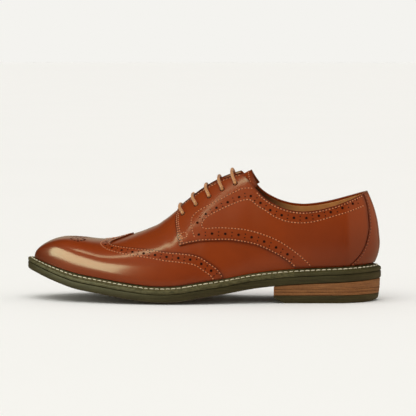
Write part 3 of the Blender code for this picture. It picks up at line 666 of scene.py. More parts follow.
# Back strip: a narrow strip of the same calf over the seam at the back of the heel. It widens
# towards the welt and is sewn down along both edges.
def strip_grid(rows=81, columns=61):
    """Both halves of the strip: |v| from the topline to the welt, u from edge to back line."""
    shares = np.linspace(-1, 1, columns)[None, :]
    level = np.linspace(0, 1, rows)[:, None]
    side = np.where(shares < 0, -1.0, 1.0)
    v = 0.4 + 0.5 * level * np.ones_like(shares)
    for _ in range(8):
        u = 1 - (1 - station_of(through(BACK_STRIP, v))) * np.abs(shares)
        top = np.where(side < 0, quarter_top(u, -1), quarter_top(u, 1))
        v = top + (OVERLAY_FOOT - top) * level
    return u, side * v


add_panel("back_strip", overlay(*strip_grid()))


# Stitching of the upper: waxed orange-brown thread, about nine stitches to the inch, with
# the needle's holes between them in painted shade. Two rows hold each edge, and a ring the
# quarter's corner.
STITCH_PITCH = 0.00270
# Length, width and height of a stitch, and radius of the needle's hole
UPPER_STITCH = (0.00155, 0.00086, 0.00055, 0.00044)


def thread_material(name, light, dark, roughness):
    """Twisted thread: fine slanting plies and a little unevenness from stitch to stitch."""
    material, tree, shader, place = new_material(name, roughness, sheen=0.15)
    fine = noise(tree, place, 1400.0, 3.0)
    colour = blend_colours(tree, ramp_between(tree, fine, 0.3, 0.7), dark, light)
    # Painted shade: the needle holes' patches, where rim is 1, are nearly black
    colour = blend_colours(tree, rim_value(tree), colour, (0.020, 0.004, 0.002))
    plies = put(tree, "TexWave", {"Vector": place, "Scale": 900.0, "Distortion": 1.0})
    shade(tree, shader, colour, None, plies.outputs["Fac"], 0.35, 0.0001)
    return material


UPPER_THREAD = thread_material("upper_thread", (0.74, 0.235, 0.070), (0.54, 0.140, 0.035), 0.55)
STRIP_THREAD = thread_material("strip_thread", (0.34, 0.075, 0.012), (0.24, 0.045, 0.007), 0.55)


def smooth_line(points, steps=24):
    """Dense points on a Catmull-Rom curve through the given ones."""
    points = np.asarray(points, float)
    ends = np.concatenate([2 * points[:1] - points[1:2], points, 2 * points[-1:] - points[-2:-1]])
    a, b, c, d = (ends[i : len(ends) - 3 + i][:, None] for i in range(4))
    t = (np.arange(steps) / steps)[None, :, None]
    curve = b + (c - a) * t / 2 + (2 * a - 5 * b + 4 * c - d) * t**2 / 2
    curve = curve + (3 * b - a - 3 * c + d) * t**3 / 2
    return np.concatenate([curve.reshape(-1, points.shape[1]), points[-1:]])


def marks_on_skin(line, side, pitch=STITCH_PITCH, start=0.5):
    """Evenly spaced places on a line of (along, |v|): point, tangent and normal of each."""
    u, v = station_of(line[:, 0]), side * line[:, 1]
    points = skin(u, v, OVERLAY_TOP)
    length = run_length(points)
    count = max(int(length[-1] / pitch), 1)
    at = (np.arange(count) + start) * length[-1] / count
    u, v = np.interp(at, length, u), np.interp(at, length, v)
    tangent = values_at(points, length, at + SMALL) - values_at(points, length, at - SMALL)
    return skin(u, v, OVERLAY_TOP), unit(tangent), last_normal(u, v)


def marks_at(u, v):
    """The same for given places, with tangents that point along the shoe."""
    tangent = last_point(u + SMALL, v) - last_point(u - SMALL, v)
    return skin(u, v, OVERLAY_TOP), unit(tangent), last_normal(u, v)


def inset(line, side, distance):
    """The line moved over the leather, to its left as seen along it from outside the shoe
    (negative is to its right): the surface's own steps are solved for the wanted move."""
    u, v = station_of(line[:, 0]), side * line[:, 1]
    along_u = (last_point(u + SMALL, v) - last_point(u - SMALL, v)) / (2 * SMALL)
    along_v = (last_point(u, v + SMALL) - last_point(u, v - SMALL)) / (2 * SMALL)
    tangent = unit(np.gradient(last_point(u, v), axis=0))
    move = distance * np.cross(last_normal(u, v), tangent)
    uu, vv, uv = (along_u**2).sum(-1), (along_v**2).sum(-1), (along_u * along_v).sum(-1)
    mu, mv = (move * along_u).sum(-1), (move * along_v).sum(-1)
    whole = uu * vv - uv**2
    new_u = u + (mu * vv - mv * uv) / whole
    new_v = side * (v + (mv * uu - mu * uv) / whole)
    keep = new_v > 0
    return np.stack([along_of(new_u), new_v], axis=-1)[keep]


def repeat(template, faces, places, tangents, normals, scales):
    """Copies a small mesh to every place: x along the tangent, z along the normal."""
    beside = unit(np.cross(normals, tangents))
    scaled = template[None] * scales[:, None, None]
    points = places[:, None] + scaled[..., :1] * tangents[:, None]
    points = points + scaled[..., 1:2] * beside[:, None] + scaled[..., 2:] * normals[:, None]
    offsets = np.arange(len(places))[:, None, None] * len(template)
    return points.reshape(-1, 3), (faces[None] + offsets).reshape(-1, faces.shape[1])


def stitch_shape(length, width, height, pit):
    """One stitch: a bar of six sides that swells in the middle and dips at both ends, and
    half a pitch further on a flat patch of the given radius, dark as the needle hole's painted
    shade."""
    at = np.array([-0.5, -0.36, 0.0, 0.36, 0.5])
    swell = np.array([0.35, 0.85, 1.0, 0.85, 0.35])
    dip = np.array([-0.55, 0.10, 0.35, 0.10, -0.55])
    angle = np.arange(6) * np.pi / 3
    x = np.repeat(at * length, 6)
    y = (swell[:, None] * np.cos(angle)).ravel() * width / 2
    z = (swell[:, None] * np.sin(angle) * height / 2 + dip[:, None] * height / 2).ravel()
    flat = 0 * angle + 0.00006
    hole = np.stack([STITCH_PITCH / 2 + pit * np.cos(angle), pit * np.sin(angle), flat], axis=-1)
    points = np.concatenate([np.stack([x, y, z], axis=-1), hole])
    caps = [[0, 3, 2, 1], [0, 5, 4, 3], [24, 25, 26, 27], [24, 27, 28, 29]]
    caps += [[30, 31, 32, 33], [30, 33, 34, 35]]
    faces = grid_faces(ring_index(5, 6))[:, ::-1]
    return points, np.concatenate([faces, caps]), np.arange(36) >= 30


def add_stitches(name, rows, material, size=UPPER_STITCH, seed=3):
    """All stitches of several rows as one piece, each turned and sized a little differently."""
    places, tangents, normals = (np.concatenate([row[i] for row in rows]) for i in range(3))
    random = np.random.default_rng(seed)
    turn = 0.05 * random.standard_normal((len(places), 1))
    tangents = unit(tangents + turn * np.cross(normals, tangents))
    scales = 1 + 0.06 * random.standard_normal(len(places))
    shape, sides, pit = stitch_shape(*size)
    points, faces = repeat(shape, sides, places, tangents, normals, scales)
    # rim is 1 on the needle holes' patches, which the thread's material paints dark as shade
    rim = np.tile(pit, len(places)).astype(float)
    add_piece(name, points, faces, material, None, sharp=0, turn=False, rim=rim)


def edge_line(table, first, last, count):
    """A panel's edge as (along, |v|), from one |v| to another."""
    across = np.linspace(first, last, count)
    return np.stack([through(table, across), across], axis=-1)


wing_line = edge_line(WING_EDGE, 0.0, 0.975, 160)
front_line = edge_line(QUARTER_FRONT, 0.10, 0.60, 60)
strip_line = edge_line(BACK_STRIP, 0.36, 0.98, 90)
# The foot's table gives |v| from along, so its columns are the other way round
foot_line = edge_line(QUARTER_FOOT, 0.437, 0.770, 140)[:, ::-1]
# Rows of stitches and of holes on the quarter, as along and |v|
FACING_ROW = smooth_line(
    (
        (0.482, 0.611), (0.475, 0.541), (0.471, 0.479), (0.473, 0.412), (0.487, 0.387),
        (0.510, 0.383), (0.532, 0.381), (0.558, 0.380), (0.577, 0.368), (0.596, 0.360),
        (0.615, 0.350), (0.632, 0.351), (0.650, 0.365),
    )
)
INNER_ROW = smooth_line(
    (
        (0.508, 0.573), (0.502, 0.540), (0.505, 0.505), (0.520, 0.480), (0.546, 0.471),
        (0.577, 0.461), (0.612, 0.449), (0.630, 0.447), (0.645, 0.459), (0.662, 0.501),
        (0.688, 0.545), (0.710, 0.583), (0.735, 0.612), (0.760, 0.628), (0.792, 0.633),
        (0.822, 0.625), (0.853, 0.604), (0.882, 0.577), (0.917, 0.545), (0.950, 0.507),
        (0.974, 0.475),
    )
)
FOOT_ROW = smooth_line(
    (
        (0.510, 0.575), (0.550, 0.605), (0.589, 0.635), (0.630, 0.665), (0.670, 0.701),
        (0.704, 0.735), (0.729, 0.768), (0.754, 0.811), (0.782, 0.870), (0.806, 0.935),
        (0.818, 0.975),
    )
)
TOP_HOLES = smooth_line(
    (
        (0.489, 0.495), (0.510, 0.455), (0.537, 0.443), (0.569, 0.433), (0.601, 0.419),
        (0.632, 0.411), (0.660, 0.457), (0.685, 0.515), (0.714, 0.559), (0.746, 0.587),
        (0.779, 0.599), (0.811, 0.595), (0.845, 0.575), (0.879, 0.543), (0.909, 0.509),
        (0.942, 0.465), (0.972, 0.421),
    )
)
FOOT_HOLES = smooth_line(
    (
        (0.494, 0.603), (0.529, 0.631), (0.562, 0.657), (0.596, 0.681), (0.630, 0.707),
        (0.663, 0.737), (0.696, 0.776), (0.726, 0.820), (0.755, 0.872), (0.780, 0.936),
    )
)
# Distances of the rows from the edges they follow
FRONT_ROWS, WING_ROWS = (0.0014, 0.0030), (0.0014, 0.0088)
FOOT_EDGE_ROW, TOP_EDGE_ROW, STRIP_ROW = 0.0013, 0.0016, 0.0014


def top_row(side, first, last, count):
    """The row below the facing's edge or the topline, between two shares of the length."""
    along = np.linspace(first, last, count)
    line = np.stack([along, quarter_top(station_of(along), side)], axis=-1)
    return inset(line, side, side * TOP_EDGE_ROW)


RING_ALONG, RING_ACROSS, RING_RADIUS = 0.450, 0.543, 0.0030


def ring_of_stitches(side, count=9):
    """Small stitches round the corner of the quarter, a ring in the leather's plane."""
    u, v = station_of(RING_ALONG), side * RING_ACROSS
    centre, normal = skin(u, v, OVERLAY_TOP), last_normal(u, v)
    first = unit(np.cross(normal, (0.0, 0.0, 1.0)))
    second = np.cross(normal, first)
    angle = np.arange(count)[:, None] * 2 * np.pi / count
    places = centre + RING_RADIUS * (np.cos(angle) * first + np.sin(angle) * second)
    tangents = -np.sin(angle) * first + np.cos(angle) * second
    return places, tangents, np.broadcast_to(normal, places.shape)


wing_rows, strip_rows = [], []
for side, side_name in ((-1, "lateral"), (1, "medial")):
    lines = [inset(front_line, side, -side * distance) for distance in FRONT_ROWS]
    lines += [inset(foot_line, side, -side * FOOT_EDGE_ROW), FOOT_ROW, FACING_ROW, INNER_ROW]
    lines += [top_row(side, 0.664, 0.978, 120), top_row(side, 0.446, 0.612, 60)]
    rows = [marks_on_skin(line, side) for line in lines] + [ring_of_stitches(side)]
    add_stitches(f"quarter_stitches_{side_name}", rows, UPPER_THREAD)
    for distance in WING_ROWS:
        wing_rows.append(marks_on_skin(inset(wing_line, side, side * distance), side))
    strip_rows.append(marks_on_skin(inset(strip_line, side, -side * STRIP_ROW), side))
add_stitches("wing_stitches", wing_rows, UPPER_THREAD)
add_stitches("strip_stitches", strip_rows, STRIP_THREAD)


# Broguing: traditional punched holes, one large between pairs of small ones along each
# edge, and a rosette on the toe. Every hole has a pressed lip and a floor in painted shade.
LARGE_HOLE, SMALL_HOLE = 0.00102, 0.00052
HOLE_PITCH, HOLE_SPREAD, WING_HOLE_INSET = 0.0100, 0.0015, 0.0051


def hole_material():
    """Painted shade for a punched hole: nearly black on its floor, dark brown at the lip."""
    material, tree, shader, place = new_material("punched_hole", 0.8, specular=0.05)
    fine = noise(tree, place, 2200.0)
    uneven = combine(tree, "MULTIPLY_ADD", fine, 0.25, rim_value(tree))
    lip = ramp_between(tree, uneven, 0.25, 1.0)
    colour = blend_colours(tree, lip, (0.010, 0.0022, 0.0012), (0.130, 0.022, 0.006))
    shade(tree, shader, colour, None, fine, 0.3, 0.0001)
    return material


HOLE_SHADE = hole_material()


def hole_shape(sides=12):
    """A dish of radius 1: the lip rises from the leather, turns over and falls to the floor."""
    reach = np.array([1.28, 1.14, 1.02, 0.92, 0.50])
    height = np.array([-0.05, 0.09, 0.12, 0.035, 0.03])
    angle = np.arange(sides) * 2 * np.pi / sides
    ring = np.stack([np.cos(angle), np.sin(angle)], axis=-1)
    rings = [np.column_stack([ring * r, np.full(sides, h)]) for r, h in zip(reach, height)]
    points = np.concatenate([*rings, [(0, 0, 0.03)]])
    index = ring_index(len(reach), sides)
    fan = np.stack([index[-1, :-1], index[-1, 1:], np.full(sides, len(points) - 1)], axis=-1)
    lip = np.concatenate([np.repeat([1.0, 0.9, 0.7, 0.15, 0.0], sides), [0.0]])
    return points, grid_faces(index)[:, ::-1], fan, lip


def add_holes(name, rows):
    """Dishes of several sizes at their places, as one piece."""
    shape, quads, fan, lip = hole_shape()
    places, tangents, normals = (np.concatenate([row[0][i] for row in rows]) for i in range(3))
    radii = np.concatenate([np.full(len(row[0][0]), row[1]) for row in rows])
    points, faces = repeat(shape, quads, places, tangents, normals, radii)
    _, fans = repeat(shape, fan, places, tangents, normals, radii)
    faces, rim = faces.tolist() + fans.tolist(), np.tile(lip, len(places))
    add_piece(name, points, faces, HOLE_SHADE, None, sharp=0, turn=False, rim=rim)


def brogue_rows(line, side):
    """One large hole every pitch, and between two of them a pair of small ones."""
    large = marks_on_skin(line, side, HOLE_PITCH, start=0.0)
    middle = marks_on_skin(line, side, HOLE_PITCH, start=0.5)
    beside = HOLE_SPREAD * np.cross(middle[2], middle[1])
    places = np.concatenate([middle[0] + beside, middle[0] - beside])
    pairs = (places, *(np.concatenate([part, part]) for part in middle[1:]))
    return [(large, LARGE_HOLE), (pairs, SMALL_HOLE)]


ROSETTE_ALONG = 0.128


def rosette():
    """A ring of six large and twelve small holes round one, and two curved sprays beside it."""
    rings = [(np.zeros((1, 2)), 1.25)]
    for count, turn, radius, size in ((6, 0.0, 0.0042, 0.9), (12, 0.26, 0.0072, 0.55)):
        angle = np.arange(count) * 2 * np.pi / count + turn
        rings.append((radius * np.stack([np.cos(angle), np.sin(angle)], -1), size))
    spray = np.linspace(0.25, 1.0, 6)
    for side in (-1, 1):
        for bend, size in ((0.006, 0.9), (-0.006, 0.7), (0.0, 0.5)):
            x = bend * np.sin(np.pi * spray) + 0.0015 * spray
            rings.append((np.stack([x, side * (0.0085 + 0.0135 * spray)], -1), size))
    rows = []
    for offsets, size in rings:
        u = station_of(ROSETTE_ALONG + offsets[:, 0] / LAST_LENGTH)
        side = np.where(offsets[:, 1] < 0, -1, 1)
        v = signed_reach(u, side, np.abs(offsets[:, 1]))
        rows.append((marks_at(u, v), size * LARGE_HOLE))
    return rows


wing_holes, quarter_holes = rosette(), []
for side in (-1, 1):
    wing_holes += brogue_rows(inset(wing_line, side, side * WING_HOLE_INSET)[4:], side)
    quarter_holes += brogue_rows(TOP_HOLES, side) + brogue_rows(FOOT_HOLES, side)
add_holes("wing_broguing", wing_holes)
add_holes("quarter_broguing", quarter_holes)


# Tongue: one layer of calf sewn under the throat, where the vamp carries it, cut round at its
# top, with one row of stitches along that edge. The table gives along, depth and half width.
TONGUE = np.array(
    (
        (0.395, 0.0026, 0.012), (0.418, 0.0030, 0.015), (0.436, 0.0058, 0.018),
        (0.520, 0.0058, 0.024), (0.600, 0.0058, 0.027), (0.625, 0.0038, 0.026),
        (0.640, 0.0028, 0.023),
    )
)
TONGUE_WALL, TONGUE_CURVE = 0.0022, 0.022
LAST_EYELET = 0.597


def tongue_grid(along, shares):
    """Stations and v at shares of the tongue's half width, its top drawn back at the sides."""
    reach = through(TONGUE, along, 2)
    backward = TONGUE_CURVE * np.clip((along - LAST_EYELET) / 0.043, 0, 1)
    u = station_of(along + backward * shares**2)
    side = np.where(shares < 0, -1.0, 1.0)
    middle = np.abs(shares) * (reach - side * THROAT_SHIFT)
    return u, signed_reach(u, side, middle), through(TONGUE, along)


along = np.linspace(TONGUE[0, 0], TONGUE[-1, 0], 90)
along, shares = np.meshgrid(along, np.linspace(-1, 1, 41), indexing="ij")
u, v, depth = tongue_grid(along, shares)
facing = last_normal(u, v)
top, bottom = (last_point(u, v) - d[..., None] * facing for d in (depth, depth + TONGUE_WALL))
add_panel("tongue", [top, bottom], 0.0007)
HEM = (-5, slice(3, -3))
hem_length = run_length(top[HEM])
hem_at = np.arange(STITCH_PITCH / 2, hem_length[-1], STITCH_PITCH)
places, normals = (values_at(values, hem_length, hem_at) for values in (top[HEM], facing[HEM]))
hem_marks = (places, unit(np.gradient(places, axis=0)), normals)
add_stitches("tongue_stitches", [hem_marks], UPPER_THREAD)


# Laces: one round waxed cotton cord, in straight bars over the facings through five pairs of
# punched eyelets. Both ends are tucked away inside.
FIRST_EYELET = 0.445
EYELETS = FIRST_EYELET + (LAST_EYELET - FIRST_EYELET) * np.arange(5) / 4
EYELET_REACH, EYELET_EDGE = (0.0195, 0.0180), 0.0019
LACE_RADIUS, LACE_LANE, LACE_BOW, LACE_TURN = 0.0014, 0.0034, 0.011, -0.0010


def lace_material():
    material, tree, shader, place = new_material("waxed_lace", 0.55, sheen=0.2)
    # Painted shade: the colour is darker in the grooves between the strands
    colour = blend_colours(tree, rim_value(tree), (0.230, 0.070, 0.014), (0.740, 0.320, 0.095))
    shade(tree, shader, colour, None, noise(tree, place, 900.0, 3.0), 0.3, 0.0002)
    return material


def eyelet_place(along, side, shift=0.0):
    """Station and v on the line of one side's eyelets, shifted away from the ridge."""
    share = (along - EYELETS[0]) / (EYELETS[-1] - EYELETS[0])
    reach = EYELET_REACH[0] + (EYELET_REACH[1] - EYELET_REACH[0]) * share
    u = station_of(along)
    return u, side * across_at_reach(u, side, reach - side * THROAT_SHIFT + shift)


def facing_point(along, side, shift, out):
    """Point over the leather at such a place."""
    u, v = eyelet_place(along, side, shift)
    return last_point(u, v) + out * last_normal(u, v)


def lace_bar(row, side):
    """Up through one eyelet, over the facings and the gap, and down through the other."""
    over = OVERLAY_TOP + LACE_RADIUS
    bend = ((-0.0002, 0.86, 0.0), (-0.0018, 1.04, 0.1), (-0.0060, 1.04, 0.5), (-0.0125, 1.02, 0.9))
    along = EYELETS[row]
    half = [facing_point(along - LACE_BOW * b, side, s, h * over) for s, h, b in bend]
    back = [facing_point(along - LACE_BOW * b, -side, s, h * over) for s, h, b in bend[::-1]]
    ends = [facing_point(along, end * side, 0.0, 0.4 * over) for end in (1, -1)]
    return ends[:1] + half + back + ends[1:]


def lace_lane(side, first, last, shift):
    """Under the facing from one eyelet to another, bowed past those between."""
    start, stop = EYELETS[first], EYELETS[last]
    under = -0.0020 - GAP - LACE_RADIUS
    near, far = 0.04 / abs(last - first), 0.24 / abs(last - first)
    bends = [(near, 0.88, 0.0), (far, 1.06, 0.35), (0.5, 1.06, 1.0)]
    bends += [(1 - share, depth, bow) for share, depth, bow in bends[1::-1]]
    route = [facing_point(start, side, 0.0, LACE_TURN)]
    for share, depth, bow in bends:
        along = start + (stop - start) * share
        route.append(facing_point(along, side, shift * bow, depth * under))
    return route + [facing_point(stop, side, 0.0, LACE_TURN)]


def lace_route():
    """From an end under the outer facing through bars 3, 1, 0, 2 and 4 to the other end."""
    route = lace_lane(-1, 3, 4, -LACE_LANE)[:-2][::-1] + lace_bar(3, -1)
    route += lace_lane(1, 3, 1, -LACE_LANE) + lace_bar(1, 1)
    route += lace_lane(-1, 1, 0, 0.0) + lace_bar(0, -1)
    route += lace_lane(1, 0, 2, LACE_LANE) + lace_bar(2, 1)
    route += lace_lane(-1, 2, 4, LACE_LANE) + lace_bar(4, -1)
    return route + [facing_point(LAST_EYELET, 1, 0.0, -0.0022)]


def add_cord(name, route, radius, material, sides=14, strands=6, twist=0.0040):
    """A tube on a smooth route whose section is carried along without turning. Strands wind
    round it both ways as low ridges, one turn every twist length."""
    points = smooth_line(route, 7)
    gap = np.append(1.0, np.linalg.norm(np.diff(points, axis=0), axis=1))
    points = points[gap > 1e-5]
    tangents = unit(np.gradient(points, axis=0))
    across = [unit(np.cross(tangents[0], (0.3, 0.2, 0.9)))]
    for tangent in tangents[1:]:
        across.append(unit(across[-1] - tangent * np.dot(across[-1], tangent)))
    across = np.array(across)[:, None]
    other = np.cross(tangents[:, None], across)
    angle = (np.arange(sides) * 2 * np.pi / sides)[None, :]
    turn = 2 * np.pi * run_length(points)[:, None] / twist
    weave = np.cos(strands * angle / 2 + turn) * np.cos(strands * angle / 2 - turn)
    size = radius * (0.97 + 0.05 * weave)
    sideways = (size * np.cos(angle))[..., None] * across
    rings = points[:, None] + sideways + (size * np.sin(angle))[..., None] * other
    count = len(points) * sides
    last = count - sides
    caps = [(i, (i + 1) % sides, count) for i in range(sides)]
    caps += [(last + (i + 1) % sides, last + i, count + 1) for i in range(sides)]
    faces = grid_faces(ring_index(len(points), sides)).tolist() + caps
    points = np.concatenate([rings.reshape(-1, 3), points[:1], points[-1:]])
    # rim is 1 on the strands' ridges and 0 in the grooves, where the lace paints its shade
    rim = np.concatenate([0.5 + 0.5 * weave.ravel(), [0.5, 0.5]])
    add_piece(name, points, faces, material, name, sharp=0, rim=rim)


add_cord("laces", lace_route(), LACE_RADIUS, lace_material())
# The eyelets are the same dishes, their floors in painted shade
eyelets = [(marks_at(*eyelet_place(EYELETS, side)), EYELET_EDGE) for side in (-1, 1)]
add_holes("eyelet_edges", eyelets)


# Insole: leather footbed with a sock of lining leather, seen down through the collar. It is a
# little dished, and its filler reaches down to the outsole.
INSOLE_RAISE, INSOLE_DISH = 0.0010, 0.0008


def cap_grid(u, shares, reach):
    """Plan grid between both sides of the outline, collapsing at its tips."""
    lateral, medial = outline(u, -1, reach)[:, None], outline(u, 1, reach)[:, None]
    share = (shares[None, :, None] + 1) / 2
    return lateral * (1 - share) + medial * share


def outline(u, side, reach):
    """Plan points at a reach outside the feather line (negative is inside)."""
    middle = np.clip(u, SMALL, 1 - SMALL)
    tangent = feather_plan(middle + SMALL, side) - feather_plan(middle - SMALL, side)
    outward = np.stack([-tangent[..., 1], tangent[..., 0]], axis=-1) * np.asarray(side)[..., None]
    outward[u <= 0] = (-1.0, 0.0)
    outward[u >= 1] = (1.0, 0.0)
    return feather_plan(u, side) + reach * unit(outward)


def raised(plan, height):
    return np.concatenate([plan, np.broadcast_to(height, plan.shape[:-1])[..., None]], axis=-1)


def welt_bottom(along):
    slope = np.clip(size_at("slope", along), LAST[0, -2], 1)
    return feather_height(along) - GAP - slope * WELT_SLOPE - WELT_THICKNESS


def along_at(plan):
    return (plan[..., 0] - TOE_X) / LAST_LENGTH


shares = np.linspace(-1, 1, 31)
plan = cap_grid(np.linspace(0, 1, 121), shares, -WELT_SEAT - GAP)
along = along_at(plan)
top = feather_height(along) + INSOLE_RAISE - INSOLE_DISH * (1 - shares**2)
layers = [raised(plan, top), raised(plan, welt_bottom(along))]
add_sheet("insole_sock", layers, LINING, "insole")


# Welt: an olive leather strip sewn all round the shoe, its top slanting outwards, with a
# heavy cream lockstitch and the fine notches of a fudge wheel.
WELT_STITCH_PITCH, WELT_STITCH_REACH, WELT_STITCH_LIFT = 0.00455, 0.0037, 0.00012
WELT_STITCH = (0.0037, 0.00092, 0.0008, 0.00001)
NOTCH_DEPTH = 0.00022
WELT_THREAD = thread_material("welt_thread", (0.86, 0.80, 0.60), (0.60, 0.52, 0.34), 0.5)


def edge_material(name, light, dark, streak=(40.0, 40.0, 900.0), joint=None):
    """Stained leather or rubber edge: fine layers that lie flat, a little worn, and, where a
    joint is given, darker behind it as painted shade."""
    material, tree, shader, place = new_material(name, 0.5, specular=0.25)
    layered = put(tree, "Mapping", {"Vector": place, "Scale": streak}).outputs[0]
    lines, fine = noise(tree, layered, 1.0, 4.0), noise(tree, place, 700.0, 3.0)
    mixed = combine(tree, "MULTIPLY_ADD", fine, 0.35, lines)
    colour = blend_colours(tree, ramp_between(tree, mixed, 0.45, 0.95), dark, light)
    # Painted shade: darker behind the joint; the part in front stands lighter, as if catching a
    # sheen
    if joint is not None:
        backward = put(tree, "SeparateXYZ", {0: place}).outputs["X"]
        behind = ramp_between(tree, backward, joint, joint + 0.0012)
        colour = blend_colours(tree, combine(tree, "MULTIPLY", behind, 0.8), colour, dark)
    shade(tree, shader, colour, None, mixed, 0.25, 0.0002)
    return material


# The joint is real; the welt behind it is darkened as painted shade
WELT_JOINT = 0.0775
WELT_OLIVE = edge_material(
    "welt_olive", (0.118, 0.102, 0.040), (0.046, 0.038, 0.010), (300.0, 300.0, 700.0), WELT_JOINT
)


def welt_route(count):
    """Stations and sides once round the shoe, close enough at both tips."""
    u = np.linspace(0, 1, count)
    return np.concatenate([u, u[-2:0:-1]]), np.repeat([-1, 1], [count, count - 2])


def welt_point(u, side, reach, height, slant):
    """Point of the welt's section: height over its underside plus a share of its slope."""
    plan = outline(u, side, reach)
    along = along_at(plan)
    slope = slant * (feather_height(along) - GAP - WELT_THICKNESS - welt_bottom(along))
    return raised(plan, welt_bottom(along) + height + slope)


route_u, route_side = welt_route(701)
middle_line = welt_point(route_u, route_side, WELT_REACH, WELT_THICKNESS, 0.0)
notch = np.cos(2 * np.pi * run_length(middle_line) / (WELT_STITCH_PITCH / 2))
notch = np.clip(notch, 0, 1) ** 6 * NOTCH_DEPTH
# The welt's section: reach, height, share of the slope, and share of the notches' depth
WELT_PROFILE = (
    (-WELT_SEAT, 0.0, 0.0, 0),
    (WELT_REACH - 0.0006, 0.0, 0.0, 0),
    (WELT_REACH - 0.0001, 0.0004, 0.0, 0),
    (WELT_REACH, 0.0015, 0.0, 0),
    (WELT_REACH - 0.0001, WELT_THICKNESS - 0.0006, 0.0, 0.5),
    (WELT_REACH - 0.0006, WELT_THICKNESS - 0.0001, 0.02, 1),
    (WELT_REACH - 0.0018, WELT_THICKNESS, 0.22, 1),
    (0.0040, WELT_THICKNESS - 0.0001, 0.42, 0),
    (0.0032, WELT_THICKNESS - 0.0001, 0.56, 0),
    (GAP + 0.0009, WELT_THICKNESS, 0.92, 0),
    (GAP, WELT_THICKNESS, 1.0, 0),
    (-WELT_SEAT, WELT_THICKNESS, 1.0, 0),
)
welt_loops = []
for reach, height, slant, cut in WELT_PROFILE:
    welt_loops.append(welt_point(route_u, route_side, reach, height, slant))
    welt_loops[-1][:, 2] -= cut * notch
welt_loops = np.stack(welt_loops, axis=1)
index = ring_index(*welt_loops.shape[:2])
faces = grid_faces(np.concatenate([index, index[:1]]))
add_piece("welt", welt_loops.reshape(-1, 3), faces, WELT_OLIVE, "welt")

seam = welt_point(route_u, route_side, WELT_STITCH_REACH, WELT_THICKNESS, 0.47)
inside = welt_point(route_u, route_side, WELT_STITCH_REACH - 0.001, WELT_THICKNESS, 0.60)
seam_length = run_length(seam)
stitch_count = int(seam_length[-1] / WELT_STITCH_PITCH)
at = (np.arange(stitch_count) + 0.5) * seam_length[-1] / stitch_count
places, inner = values_at(seam, seam_length, at), values_at(inside, seam_length, at)
tangents = unit(values_at(seam, seam_length, at + 4 * SMALL) - places)
normals = unit(np.cross(tangents, inner - places))
normals *= np.sign(normals[:, 2:])
seam_marks = (places + normals * WELT_STITCH_LIFT, tangents, normals)
add_stitches("welt_stitches", [seam_marks], WELT_THREAD, WELT_STITCH, 5)


# Outsole: dark olive sole, crowned under the ball, which lies on the floor while the toe
# springs up, with shallow grooves cut into its tread.
SOLE_ROUNDING = 0.0012
GROOVE_PITCH, GROOVE_DEPTH = 0.0085, 0.0007
SOLE_DARK = edge_material(
    "sole_olive", (0.056, 0.044, 0.011), (0.032, 0.025, 0.006), (60.0, 60.0, 1200.0)
)


def outsole_foot(along):
    return welt_bottom(along) - GAP - SOLE_THICKNESS


def tread(x, y, closing):
    """Depth of the grooves: slanting bars in chevrons, faded towards the edge."""
    wave = np.cos(2 * np.pi * (x + 0.45 * np.abs(y)) / GROOVE_PITCH)
    zone = np.clip((closing - 0.10) / 0.06, 0, 1)
    return GROOVE_DEPTH * np.clip((wave - 0.35) / 0.3, 0, 1) * zone


u, shares = np.linspace(0, 1, 361), np.linspace(-1, 1, 81)
TOP_ROUNDING = ((-0.0006, 0.0), (-0.0001, -0.0005), (0.0, -0.0012))
FOOT_ROUNDING = ((0.0, 0.0014), (-0.0003, 0.0005))
soles = []
for reach, height in TOP_ROUNDING + FOOT_ROUNDING:
    plan = cap_grid(u, shares, WELT_REACH + reach)
    foot = outsole_foot(along_at(plan))
    level = foot if height > 0 else welt_bottom(along_at(plan)) - GAP
    soles.append(raised(plan, level + height))
plan = cap_grid(u, shares, WELT_REACH - SOLE_ROUNDING)
along, width = along_at(plan), width_share(along_of(u))[:, None]
hollow = np.clip(size_at("hollow", along), 0, None) * width
crown = SOLE_CROWN * hollow * (1 - np.abs(shares) ** 3)
border = (1 - np.abs(shares)) * np.minimum(1, 6 * width)
treads = tread(plan[..., 0], plan[..., 1] - 0.004, border)
soles.append(raised(plan, np.maximum(outsole_foot(along) - crown, 0) + treads))
add_sheet("outsole", soles, SOLE_DARK, "outsole")


# Heel: three lifts of stacked leather nailed on over the heel seat, the first a wedge, over a
# dark rubber top lift with a bevel at its front and back.
TOP_LIFT, LIFT, LIFTS = 0.0066, 0.0023, 3
LIFT_JOINT = 0.00012
HEEL_TAPER, BREAST, BREAST_CURVE = 0.0016, 0.709, 0.0035
BACK_BEVEL, BACK_BEVEL_ALONG, FRONT_BEVEL, FRONT_BEVEL_SHARE = 0.0026, 0.955, 0.0050, 0.036
STACKED = edge_material(
    "stacked_leather", (0.330, 0.135, 0.040), (0.165, 0.058, 0.015), (55.0, 55.0, 2600.0)
)
RUBBER = edge_material("top_lift_rubber", (0.062, 0.046, 0.012), (0.036, 0.027, 0.007))


def heel_plan(height, inward=0.0):
    """Plan grid of the heel at a height, tapering down, with a hollow front."""
    reach = WELT_REACH - HEEL_TAPER * (1.5 - height / outsole_foot(BREAST)) - inward
    first = station_of(BREAST)
    shares = np.linspace(-1, 1, 25)
    plan = cap_grid(first + (1 - first) * np.linspace(0, 1, 101), shares, reach)
    away = np.clip((along_at(plan) - BREAST) / (1 - BREAST), 0, 1)
    plan[..., 0] += BREAST_CURVE * (1 - shares**2) * (1 - away) ** 2
    return plan


